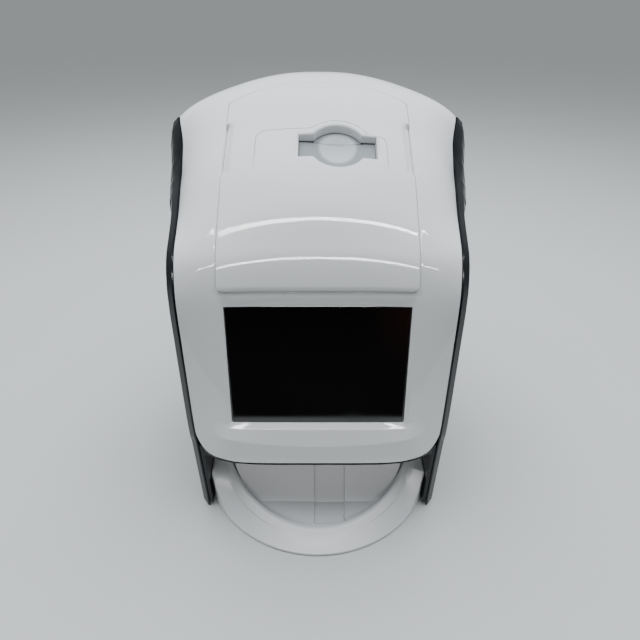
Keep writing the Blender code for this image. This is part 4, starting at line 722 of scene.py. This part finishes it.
def screenRecess(point):
    # a chamfer down to the glass, and a low ridge round it that stands proud under the screen
    form = screenForm
    across = abs(point.x) - screenHalf
    rise = (point - faceLow).dot(faceUp)
    under, over = screenLow - rise, rise - screenHigh
    slopes = (across / form["chamferSide"], under / form["chamferLow"], over / form["chamferHigh"])
    chamfer = max(*slopes, 0.0)
    depth = form["edgeDepth"] - form["edgeShallower"] * min(abs(point.x) / screenHalf, 1.0) ** 2
    crease = form["creaseLow"] - form["creaseBow"] * (point.x / screenHalf) ** 2
    inside = max(across / form["creaseSide"], over / form["creaseHigh"], 0.0)
    ridge = form["sideRidge"] * min(chamfer, 1.0) * max(1.0 - inside, 0.0)
    if under > 0:
        step = min(under / form["chamferLow"], 1.0) * form["chamferRidge"]
        climb = form["lowRidge"] - form["chamferRidge"]
        if under < crease:
            low = step + climb * max(under - form["chamferLow"], 0.0) / (crease - form["chamferLow"])
        else:
            low = form["lowRidge"] * max(screenLow - under, 0.0) / (screenLow - crease)
        fade = 1.0 - smoothStep((across - form["ridgeFadeStart"] * form["creaseSide"]) / form["ridgeFade"])
        ridge = max(ridge, low * fade)
    return depth * max(1.0 - chamfer, 0.0) - ridge


creaseAngle = 50  # degrees from which an edge stays sharp, on the drawn sheets
cutAngle = 32  # and where the cover has been cut


def nowhere(row, column):
    return False


def sheetSolid(name, upper, lower, material, skipped=nowhere):
    # a closed wall between two grids of points; skipped(row, column) leaves a hole
    bm = bmesh.new()
    grids = [[[bm.verts.new(point) for point in row] for row in grid] for grid in (upper, lower)]
    rows, columns = len(upper), len(upper[0])
    kept = {(r, c) for r in range(rows - 1) for c in range(columns - 1) if not skipped(r, c)}
    for r, c in kept:
        for side, grid in enumerate(grids):
            corners = [grid[r][c], grid[r][c + 1], grid[r + 1][c + 1], grid[r + 1][c]]
            bm.faces.new(corners if side == 0 else corners[::-1])
    top, bottom = grids
    for r, c in kept:
        walls = (
            ((r - 1, c), (r, c), (r, c + 1)),
            ((r + 1, c), (r + 1, c + 1), (r + 1, c)),
            ((r, c - 1), (r + 1, c), (r, c)),
            ((r, c + 1), (r, c + 1), (r + 1, c + 1)),
        )
        for beside, (r1, c1), (r2, c2) in walls:
            if beside not in kept:
                bm.faces.new((top[r2][c2], top[r1][c1], bottom[r1][c1], bottom[r2][c2]))
    loose = [vert for vert in bm.verts if not vert.link_faces]
    bmesh.ops.delete(bm, geom=loose, context="VERTS")
    piece = meshObject(name, bm)
    shadeSmooth(piece.data, creaseAngle)
    piece.data.materials.append(material)
    return piece


def hoodColumnPlaces():
    # (kind, value): inside the cover's outline as a share, just outside it in metres, or beyond as a share
    grid = hoodGrid
    inner = [grid["innerStep"] * step for step in range(grid["innerColumns"])]
    window = 2 * screenHalf
    inner += [window / (2 * coverForm["halfWidth"]) + extra for extra in grid["besideScreen"]]
    right = [("in", share) for share in inner] + [("in", grid["lastInner"]), ("off", 0.0)]
    right += [("off", grid["offStep"] * step) for step in grid["offSteps"]]
    right += [("out", (step + 1) / grid["outColumns"]) for step in range(grid["outColumns"])]
    left = [(kind, -value) if kind == "in" else (kind + "Left", value) for kind, value in reversed(right[1:])]
    return left + right


def hoodPlace(row, column):
    # station and distance across for a row and a column of the fine grid
    kind, value = row
    margin = coverForm["gap"]
    if kind == "front":
        station = value
        first = hoodGrid["tuckStart"]
        tuck = smoothStep((value - first) / (coverForm["start"] - first)) * coverForm["corner"]
    elif kind == "cover":
        tuck = roundFall(value, coverForm["corner"]) * coverForm["corner"]
    else:
        tuck = 0.0
    half = coverForm["halfWidth"] + margin - tuck
    side = -1 if column[0].endswith("Left") else 1
    share = column[1] if column[0] == "in" else side
    share = max(-1.0, min(1.0, share))
    if kind == "cover":
        start = coverForm["start"] - margin / coverUnit
        along = min(value / (coverTop(0.0, margin) - start) / coverUnit, 1.0)
        station = start + (coverTop(share, margin) - start) * along
    elif kind == "back":
        station = coverTop(share, margin) + (lastStation - coverTop(share, margin)) * value
    if column[0] == "in":
        return station, share * half
    edge = hoodHalfWidth(station)
    reach = column[1] if column[0].startswith("off") else hoodGrid["outStart"]
    x = half + reach
    if column[0].startswith("out"):
        x += (edge - x) * column[1]
    return station, side * min(x, edge)


def makeHood(finishes):
    grid = hoodGrid
    margin = coverForm["gap"]
    lip = hoodForm["lipRadius"]
    coverRun = (coverTop(0.0, margin) - coverForm["start"] + margin / coverUnit) * coverUnit
    screenRows, browRows = grid["screenRows"], grid["browRows"]
    coverRows, backRows = grid["coverRows"], grid["backRows"]
    rises = list(grid["chinRises"])
    rises += [screenLow - grid["underStep"] * back for back in grid["underSteps"]]
    rises += [screenLow - grid["chamferStep"] * back for back in grid["chamferSteps"]]
    rises += [screenLow + (screenHigh - screenLow) * step / screenRows for step in range(1, screenRows + 1)]
    startRise = (hoodPoint(coverForm["start"] - margin / coverUnit, 0.0) - faceLow).dot(faceUp)
    brow = startRise - lip - screenHigh
    rises += [screenHigh + brow * step / browRows for step in range(1, browRows + 1)]
    rises += [startRise - lip * back for back in grid["browShares"]]
    rows = [("front", stationAtRise(rise)) for rise in rises]
    corner = coverForm["corner"]
    steps = [grid["sliver"]] + [corner * share for share in grid["cornerShares"]]
    steps += [corner + (coverRun - corner) * step / coverRows for step in range(1, coverRows + 1)]
    steps[-1] = coverRun - grid["sliver"]
    rows += [("cover", step) for step in steps] + [("cover", coverRun)]
    backRun = (lastStation - coverTop(0.0, margin)) * coverUnit
    rows += [("back", lip * share / backRun) for share in grid["backShares"]]
    curved = [(step / backRows) ** grid["backPower"] for step in range(1, backRows)]
    rows += [("back", share + grid["backStart"]) for share in curved] + [("back", 1.0)]
    columns = hoodColumnPlaces()
    seat = coverForm["thickness"] + margin
    inner = 1.0 - coverForm["seatInset"] / coverForm["halfWidth"]
    upper, lower = [], []
    for kind, value in rows:
        top, bottom = [], []
        for column in columns:
            station, x = hoodPlace((kind, value), column)
            point = hoodPoint(station, x)
            normal = hoodNormal(station, x)
            inside = kind == "cover" and column[0] == "in" and 0 < value < coverRun
            if inside:
                sink = seat
            else:
                away = column[1] if column[0].startswith("off") and kind == "cover" else 1.0
                if kind == "front" and (column[0] == "in" or column[1] < grid["offStep"]):
                    away = (coverForm["start"] - station) * coverUnit - margin
                if kind == "back" and column[0] == "in":
                    away = value * backRun
                sink = lip * roundFall(away, lip)
            if kind == "front":
                sink = sink + screenRecess(point)
            top.append(point - normal * sink)
            bottom.append(point - normal * hoodForm["wall"])
        upper.append(top)
        lower.append(bottom)
    windowShare = screenHalf / coverForm["halfWidth"]

    def isHole(r, c):
        rowLow, rowHigh = rows[r], rows[r + 1]
        places = [columns[c], columns[c + 1]]
        if any(place[0] != "in" for place in places):
            return False
        reach = max(abs(place[1]) for place in places)
        if rowLow[0] == "front" and rowHigh[0] == "front":
            middle = (rises[r] + rises[r + 1]) / 2
            return screenLow < middle < screenHigh and reach < windowShare + grid["holeSlack"]
        if rowLow[0] == "cover" and rowHigh[0] == "cover":
            clear = coverForm["seatInset"]
            return reach <= inner and clear < rowLow[1] and rowHigh[1] < coverRun - clear
        return False

    hood = sheetSolid("hoodMoulding", upper, lower, finishes["white_gloss_plastic"], isHole)
    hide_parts("hood_shell")
    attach(hood, "body")
    print("hood moulded:", len(hood.data.polygons), "faces")


# Lift-off cover with its finger notches and the slot

slotForm = {
    "station": 9.15,
    "offset": 0.0106,
    "width": 0.0415,
    "gap": 0.0158,
    "scoop": 0.0150,
    "lipWidth": 0.0013,
    "lipDeep": 0.0036,
    "skirtDeep": 0.0051,
    "skirtWall": 0.0002,
    "sealFront": 0.0064,
    "sealRear": 0.0076,
    "sealHalf": 0.0092,
    "bowlDeep": 0.0067,
    "floorDeep": 0.0054,
    "sealThick": 0.0003,
    "insertLeft": 0.0436,
    "insertRight": 0.0259,
    "insertHigh": 0.0124,
    "insertStep": 0.0085,
    "insertLow": 0.0150,
    "insertCorner": 0.0050,
    "insertArch": 0.0185,
    "grooveWidth": 0.00050,
    "grooveDepth": 0.0006,
    "grooveRise": 0.002,
    "grooveTaper": 0.6,
    "grooveFade": 3,
    "grooveEnd": 0.3,
    "bendShare": 0.4,
    "bendExtra": 0.0015,
    "cutterReach": 0.02,
    "sealEnd": 0.25,
}

slotPoint = hoodPoint(slotForm["station"], slotForm["offset"])
slotNormal = hoodNormal(slotForm["station"], slotForm["offset"])
slotTilt = math.atan2(-slotNormal.y, slotNormal.z)
slotTurn = Matrix.Rotation(slotTilt, 4, "X") @ Matrix.Rotation(math.asin(slotNormal.x), 4, "Y")
slotFrame = Matrix.Translation(slotPoint) @ slotTurn


def coverLift(station):
    # proud at the lower edge, which curls under, and flush further up
    place = (station - coverForm["start"]) * coverUnit
    fade = max(0.0, 1.0 - (station - coverForm["start"]) / coverForm["liftFade"])
    curl = coverForm["curl"] * roundFall(place, coverForm["curlLength"])
    return coverForm["lift"] * fade * fade + coverForm["gap"] - curl


def notchSink(station, inset):
    # a slanting facet along each side, for a fingertip
    ramp = coverForm["notchRamp"] / stationLength(coverForm["notchStart"])
    low = (station - coverForm["notchStart"] + ramp) / ramp
    high = (coverForm["notchEnd"] - station) / (coverForm["notchStop"] * ramp)
    along = max(0.0, min(1.0, low, high))
    return coverForm["notchDepth"] * along * max(0.0, 1.0 - inset / coverForm["notchWidth"])


def makeCoverSheet(finishes):
    grid = coverGrid
    half = coverForm["halfWidth"]
    distances = [half - inset for inset in grid["insets"]]
    distances += [grid["columnStep"] * step for step in range(grid["columns"], -1, -1)]
    columns = sorted({round(side * value, 6) for value in distances for side in (-1, 1)})
    start, edge = coverForm["start"], coverForm["edgeRadius"]
    span = (coverForm["end"] - start) * coverUnit
    first, rows = grid["firstSteps"][-1], grid["rows"]
    steps = grid["firstSteps"] + [first + (span - first) * step / rows for step in range(1, rows - 2)]
    steps += [span - back for back in grid["lastSteps"]]
    upper, lower = [], []
    for step in steps:
        tuck = coverForm["corner"] * roundFall(step, coverForm["corner"])
        top, bottom = [], []
        for column in columns:
            share = column / half
            station = start + (coverTop(share, 0.0) - start) * step / span
            x = share * (half - tuck)
            inset = half - abs(column)
            rim = edge * max(roundFall(inset, edge), roundFall(span - step, edge))
            point, normal = hoodPoint(station, x), hoodNormal(station, x)
            notch = notchSink(station, inset)
            top.append(point + normal * (coverLift(station) - rim - notch))
            under = max(coverForm["thickness"] - coverForm["gap"], notch + coverForm["notchWall"])
            bottom.append(point - normal * under)
        upper.append(top)
        lower.append(bottom)
    return sheetSolid("coverMoulding", upper, lower, finishes["white_gloss_plastic"])


def slotOutline(grow, steps=14):
    radius = slotForm["scoop"] + grow
    halfX, halfY = slotForm["width"] / 2 + grow, slotForm["gap"] / 2 + grow
    start = math.asin(halfY / radius)
    points = []
    for side in (1, -1):
        points += [(side * halfX, -side * halfY), (side * halfX, side * halfY)]
        for step in range(steps + 1):
            angle = start + (math.pi - 2 * start) * step / steps
            points.append((side * radius * math.cos(angle), side * radius * math.sin(angle)))
    return points


def ringLoft(name, rings, closed, frameMatrix):
    # a loft through rings of equal length, in a frame; closed joins the last ring to the first
    bm = bmesh.new()
    made = [[bm.verts.new(frameMatrix @ Vector(point)) for point in ring] for ring in rings]
    pairs = list(zip(made, made[1:])) + ([(made[-1], made[0])] if closed else [])
    for first, second in pairs:
        for index in range(len(first)):
            other = (index + 1) % len(first)
            bm.faces.new((first[index], first[other], second[other], second[index]))
    if not closed:
        bm.faces.new(made[0][::-1])
        bm.faces.new(made[-1])
    bmesh.ops.recalc_face_normals(bm, faces=bm.faces)
    return meshObject(name, bm)


def cutWith(piece, cutters):
    # cut a piece for good, then take the cutters away
    for cutter in cutters:
        modifier = piece.modifiers.new(cutter.name, "BOOLEAN")
        modifier.operation = "DIFFERENCE"
        modifier.solver = "EXACT"
        modifier.object = cutter
    bpy.context.view_layer.update()
    graph = bpy.context.evaluated_depsgraph_get()
    mesh = bpy.data.meshes.new_from_object(piece.evaluated_get(graph))
    old = piece.data
    piece.modifiers.clear()
    piece.data = mesh
    bpy.data.meshes.remove(old)
    for cutter in cutters:
        bpy.data.objects.remove(cutter)
    shadeSmooth(mesh, cutAngle)


def surfaceUnder(x, y):
    # height of the cover's upper face over the slot's frame, by walking the surface
    station, across = slotForm["station"], slotForm["offset"] + x
    inverse = slotFrame.inverted()
    for _ in range(6):
        local = inverse @ (hoodPoint(station, across) + hoodNormal(station, across) * coverLift(station))
        station += (y - local.y) / stationLength(slotForm["station"])
        across += x - local.x
    return local.z


def arcPoints(x, y, radius, start, end, steps):
    angles = [start + (end - start) * step / steps for step in range(steps + 1)]
    return [(x + radius * math.cos(angle), y + radius * math.sin(angle)) for angle in angles]


def insertPath():
    # the parting line round the slot's insert, open towards the front
    form = slotForm
    left, right = -form["insertLeft"], form["insertRight"]
    high, step, low = form["insertHigh"], form["insertStep"], -form["insertLow"]
    corner, arch = form["insertCorner"], form["insertArch"]
    points = [(left, low + (high - corner - low) * index / 5) for index in range(6)]
    points += arcPoints(left + corner, high - corner, corner, math.pi, math.pi / 2, 6)[1:]
    startAngle = math.pi - math.asin(high / arch)
    endAngle = math.asin(step / arch)
    archStart = arch * math.cos(startAngle)
    points += [(left + corner + (archStart - left - corner) * index / 6, high) for index in range(1, 6)]
    points += arcPoints(0.0, 0.0, arch, startAngle, endAngle, 16)
    archEnd = arch * math.cos(endAngle)
    bend = min(corner, form["bendShare"] * (right - archEnd)) + form["bendExtra"]
    points.append(((archEnd + right - bend) / 2, step))
    points += arcPoints(right - bend, step - bend, bend, math.pi / 2, 0.0, 5)
    points += [(right, step - bend + (low - step + bend) * index / 5) for index in range(1, 6)]
    return points


def grooveCutter(name, path):
    # a narrow trench along the path that fades out at both ends
    half, top, taper = slotForm["grooveWidth"] / 2, slotForm["grooveRise"], slotForm["grooveTaper"]
    sections = []
    for index, (x, y) in enumerate(path):
        before, after = path[max(index - 1, 0)], path[min(index + 1, len(path) - 1)]
        along = Vector((after[0] - before[0], after[1] - before[1])).normalized()
        sideways = Vector((-along.y, along.x)) * half
        fromEnd = min(index, len(path) - 1 - index) + slotForm["grooveEnd"]
        fade = min(1.0, fromEnd / slotForm["grooveFade"])
        z = surfaceUnder(x, y)
        deep = slotForm["grooveDepth"] * fade
        corners = [(1, top), (-1, top), (-taper, -deep), (taper, -deep)]
        sections.append([(x + sign * sideways.x, y + sign * sideways.y, z + rise) for sign, rise in corners])
    return ringLoft(name, sections, False, slotFrame)


def makeCover(finishes):
    cover = makeCoverSheet(finishes)
    lip = slotForm["lipWidth"]
    reach = slotForm["cutterReach"]
    rings = [[(x, y, z) for x, y in slotOutline(lip)] for z in (-reach, reach)]
    cutters = [ringLoft("slotCutter", rings, False, slotFrame), grooveCutter("insertCutter", insertPath())]
    cutWith(cover, cutters)
    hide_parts("top_cover")
    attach(cover, "cover")
    print("cover moulded:", len(cover.data.polygons), "faces")


def makeSlotLip(finishes):
    # the rounded lip of the slot, turned over from the cover's face down to its underside
    lip, base, skirt = slotForm["lipWidth"], -slotForm["lipDeep"], slotForm["skirtWall"]
    foot = -slotForm["skirtDeep"]
    rings = []
    for step in range(8):
        angle = math.pi / 2 * step / 7
        grow = lip * (1.0 - math.sin(angle))
        fall = lip * (1.0 - math.cos(angle))
        pairs = zip(slotOutline(grow), slotOutline(lip))
        rings.append([(x, y, surfaceUnder(*far) - fall) for (x, y), far in pairs])
    for grow, z in ((-skirt, foot), (skirt / 2, foot), (skirt / 2, base), (lip, base)):
        rings.append([(x, y, z) for x, y in slotOutline(grow)])
    piece = ringLoft("slotLip", rings, True, slotFrame)
    shadeSmooth(piece.data, creaseAngle)
    piece.data.materials.append(finishes["white_gloss_plastic"])
    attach(piece, "cover")


def makeScoopSeal(finishes):
    # thin flexible strip that carries the bowl's floor over the flap's hinge gap
    half, front, floor = slotForm["sealHalf"], slotForm["sealFront"], slotForm["floorDeep"]
    end, rows, columns = slotForm["sealEnd"], 3, 16
    grids = []
    for thick in (0.0, slotForm["sealThick"]):
        grid = []
        for row in range(rows + 1):
            points = []
            for column in range(columns + 1):
                x = half * (1 - 2 * column / columns)
                bulge = 1.0 - (x / half) ** 2
                rear = front + (slotForm["sealRear"] - front) * (end + (1.0 - end) * bulge)
                deep = floor + (slotForm["bowlDeep"] - floor) * bulge
                points.append(slotFrame @ Vector((x, front + (rear - front) * row / rows, -deep - thick)))
            grid.append(points)
        grids.append(grid)
    # the seal takes the slot's dark grey, which has the recess's shade painted into it
    seal = sheetSolid("scoopSeal", *grids, finishes["slotGreyPaintedShade"])
    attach(seal, "body")


# Rounded crest of the tray's rim, which falls in a soft hollow to the dish

rimForm = {
    "centre": -0.0210,
    "radius": 0.0642,
    "floor": 0.0066,
    "front": 0.0080,
    "slope": 0.50,
    "reach": math.radians(66),
    "groove": (-0.0028, 0.0182),
    # offset from the dish's radius, share of its depth, height over that
    "across": [0.0064, 0.0045, 0.0028, 0.0014, 0.0, -0.0012, -0.0026, -0.0042, -0.0062],
    "share": [1.0, 1.0, 1.0, 1.0, 1.0, 0.80, 0.42, 0.12, 0.0],
    "rise": [-0.0019, -0.0008, 0.0001, 0.0005, 0.0002, -0.0001, -0.0001, 0.0, -0.0002],
    "wall": 0.0006,
    "columns": 96,
    "steps": 24,
    "grooveStart": 0.55,
}


def makeRimCrest(finishes):
    form, columns, steps = rimForm, rimForm["columns"], rimForm["steps"]
    last = len(form["across"]) - 1
    upper, lower, places = [], [], []
    for index in range(columns + 1):
        angle = form["reach"] * (2 * index / columns - 1)
        crest = form["front"] + form["radius"] * (1 - math.cos(angle)) * form["slope"]
        points = []
        for step in range(steps + 1):
            place = last * step / steps
            radius = form["radius"] + throughRow(form["across"], place)
            z = form["floor"] + throughRow(form["share"], place) * (crest - form["floor"])
            z += throughRow(form["rise"], place)
            points.append(Vector((radius * math.sin(angle), form["centre"] - radius * math.cos(angle), z)))
        places.append(form["radius"] * math.sin(angle))
        upper.append(points)
        lower.append([point - Vector((0.0, 0.0, form["wall"])) for point in points])
    low, high = form["groove"]

    def overGroove(r, c):
        return c > steps * form["grooveStart"] and places[r + 1] > low and places[r] < high

    crest = sheetSolid("rimCrest", upper, lower, finishes["traySatin"], overGroove)
    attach(crest, bodyOf["output_tray"])


# Other pieces keep the solids' own shape, welded and smoothed, with their moulded edges rounded

softEdges = {"output_tray": 0.0014}
otherFinish = {
    "output_tray": "traySatin",
    # the slot's pieces take the darker grey, which has the recess's shade painted into it
    "entry_bezel": "slotGreyPaintedShade",
    "entry_shutter": "slotGreyPaintedShade",
    "scoop_floor": "slotGreyPaintedShade",
}
polish = {
    "weld": 0.000005,
    "flatAngle": 0.5,
    "sharpAngle": 34,
    "softSegments": 4,
    "softAngle": 40,
}


def polishNode(name, finish, bodyName):
    bm = bmesh.new()
    bm.from_mesh(nodes[name].data)
    bmesh.ops.remove_doubles(bm, verts=bm.verts, dist=polish["weld"])
    flatAngle = math.radians(polish["flatAngle"])
    bmesh.ops.dissolve_limit(bm, angle_limit=flatAngle, verts=bm.verts, edges=bm.edges)
    mesh = nodes[name].data.copy()
    mesh.name = name + "Smooth"
    bm.to_mesh(mesh)
    bm.free()
    piece = addObject(name + "Smooth", mesh)
    stored = mesh.attributes.get("custom_normal")
    if stored:
        mesh.attributes.remove(stored)
    shadeSmooth(mesh, polish["sharpAngle"])
    mesh.materials.clear()
    mesh.materials.append(finish)
    if name in softEdges:
        soft = piece.modifiers.new("softEdge", "BEVEL")
        soft.width = softEdges[name]
        soft.segments = polish["softSegments"]
        soft.limit_method = "ANGLE"
        soft.angle_limit = math.radians(polish["softAngle"])
    even = piece.modifiers.new("flatFacesStayFlat", "WEIGHTED_NORMAL")
    even.keep_sharp = True
    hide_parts(name)
    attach(piece, bodyName)


# Studio: a pale table, a soft ceiling and two rows of small lamps over the front

studio = {
    "tableSize": 160.0,
    "tableColour": (0.575, 0.588, 0.576),
    "tableLighter": 1.04,
    "tableRough": 0.8,
    "tableShine": 0.1,
    "darkBeyond": -0.312,
    "darkFade": 0.010,
    "darkColour": (0.004, 0.004, 0.004),
    "ceilingPlace": (0.0, 0.10, 0.90),
    "ceilingSize": (1.1, 0.9),
    "ceilingPower": 14.5,
    "ceilingColour": (0.955, 1.0, 1.05),
    "roomLow": (0.205, 0.200, 0.192),
    "roomHigh": (0.57, 0.60, 0.62),
    "roomLean": 0.40,
    "roomSpan": (-0.45, 1.05),
}

# each row: height, place from front to back, bend per square metre of reach, half length, length of a lamp
lampRows = {
    "rows": [(0.60, -0.285, 1.50, 0.345, 0.028), (0.60, -0.715, -0.45, 0.53, 0.100)],
    "spacing": 0.0105,
    "width": 0.0068,
    "slant": 0.003,
    "taper": 0.75,
    "power": 60.0,
}


def paleTable(tree, look):
    skin = placeSkin(tree, Wave=0.2, Grain=0.5, Scale=0.3)
    lighter = tuple(value * look["tableLighter"] for value in look["tableColour"])
    base = mixColours(tree, skin["Mottle"], look["tableColour"], lighter, -500, 250)
    # for reflections and bounced light the table is dark beyond a line in front of the scanner
    split = addNode(tree, "SeparateXYZ", -900, 600, {0: objectPlace(tree, -1100, 600)}).outputs
    reach = {"From Min": look["darkBeyond"], "From Max": look["darkBeyond"] - look["darkFade"]}
    beyond = remap(tree, split["Y"], reach, -700, 600)
    seen = addNode(tree, "LightPath", -700, 900).outputs["Is Camera Ray"]
    hidden = calculate(tree, "SUBTRACT", 1.0, seen, -560, 900)
    both = calculate(tree, "MULTIPLY", beyond, hidden, -450, 600)
    return {
        "Base Color": mixColours(tree, both, base, look["darkColour"], -200, 350),
        "Roughness": look["tableRough"],
        "Specular IOR Level": look["tableShine"],
    }


def makeTable():
    bm = bmesh.new()
    bmesh.ops.create_grid(bm, x_segments=1, y_segments=1, size=studio["tableSize"] / 2)
    table = meshObject("tableTop", bm)
    table.data.materials.append(makeSurface("paleTable", paleTable, studio))


def makeCeiling():
    data = bpy.data.lights.new("softCeiling", "AREA")
    data.shape = "RECTANGLE"
    data.size, data.size_y = studio["ceilingSize"]
    data.energy = studio["ceilingPower"]
    data.color = studio["ceilingColour"]
    light = addObject("softCeiling", data)
    light.location = studio["ceilingPlace"]
    light.visible_glossy = False


def makeLampRows():
    material = bpy.data.materials.new("smallLamps")
    material.use_nodes = True
    tree = material.node_tree
    tree.nodes.clear()
    glow = addNode(tree, "Emission", 0, 0, {"Strength": lampRows["power"]})
    addNode(tree, "OutputMaterial", 250, 0, {"Surface": glow.outputs[0]})
    bm = bmesh.new()
    halfX, slant = lampRows["width"] / 2, lampRows["slant"]
    for z, y, bend, reach, long in lampRows["rows"]:
        count = int(2 * reach / lampRows["spacing"])
        for index in range(count + 1):
            x = reach * (2 * index / count - 1)
            middle = y + bend * x * x
            halfY = long / 2 * (1.0 - lampRows["taper"] * (x / reach) ** 2)
            near = [(-halfX - slant, -halfY), (-halfX + slant, halfY)]
            far = [(halfX + slant, halfY), (halfX - slant, -halfY)]
            bm.faces.new([bm.verts.new((x + across, middle + along, z)) for across, along in near + far])
    lamps = meshObject("lampRows", bm)
    lamps.data.materials.append(material)
    lamps.visible_camera = False
    lamps.visible_diffuse = False
    lamps.visible_shadow = False


def makeRoom():
    world = bpy.data.worlds.new("room")
    bpy.context.scene.world = world
    world.use_nodes = True
    tree = world.node_tree
    # brightest overhead, darkest low down on the side of the viewer
    place = addNode(tree, "TexCoord", -1000, 0).outputs["Generated"]
    inputs = {0: place, 1: (0.0, studio["roomLean"], 1.0)}
    lean = addNode(tree, "VectorMath", -800, 0, inputs, operation="DOT_PRODUCT").outputs["Value"]
    low, high = studio["roomSpan"]
    rise = remap(tree, lean, {"From Min": low, "From Max": high}, -600, 0)
    tone = mixColours(tree, rise, studio["roomLow"], studio["roomHigh"])
    feed(tree, tree.nodes["Background"], {"Color": tone})


setUpCamera()
print("camera set")
finishes = makeFinishes()
dressNodes(finishes)
print("finishes made:", len(finishes))
makeHood(finishes)
makeCover(finishes)
makeSlotLip(finishes)
makeScoopSeal(finishes)
makeRimCrest(finishes)
for nodeName in nodes:
    if nodeName not in ("hood_shell", "top_cover"):
        finish = finishes[otherFinish.get(nodeName, slotOf[nodeName])]
        polishNode(nodeName, finish, bodyOf[nodeName])
print("pieces polished")
makeTable()
makeCeiling()
makeLampRows()
makeRoom()
print("studio lit")
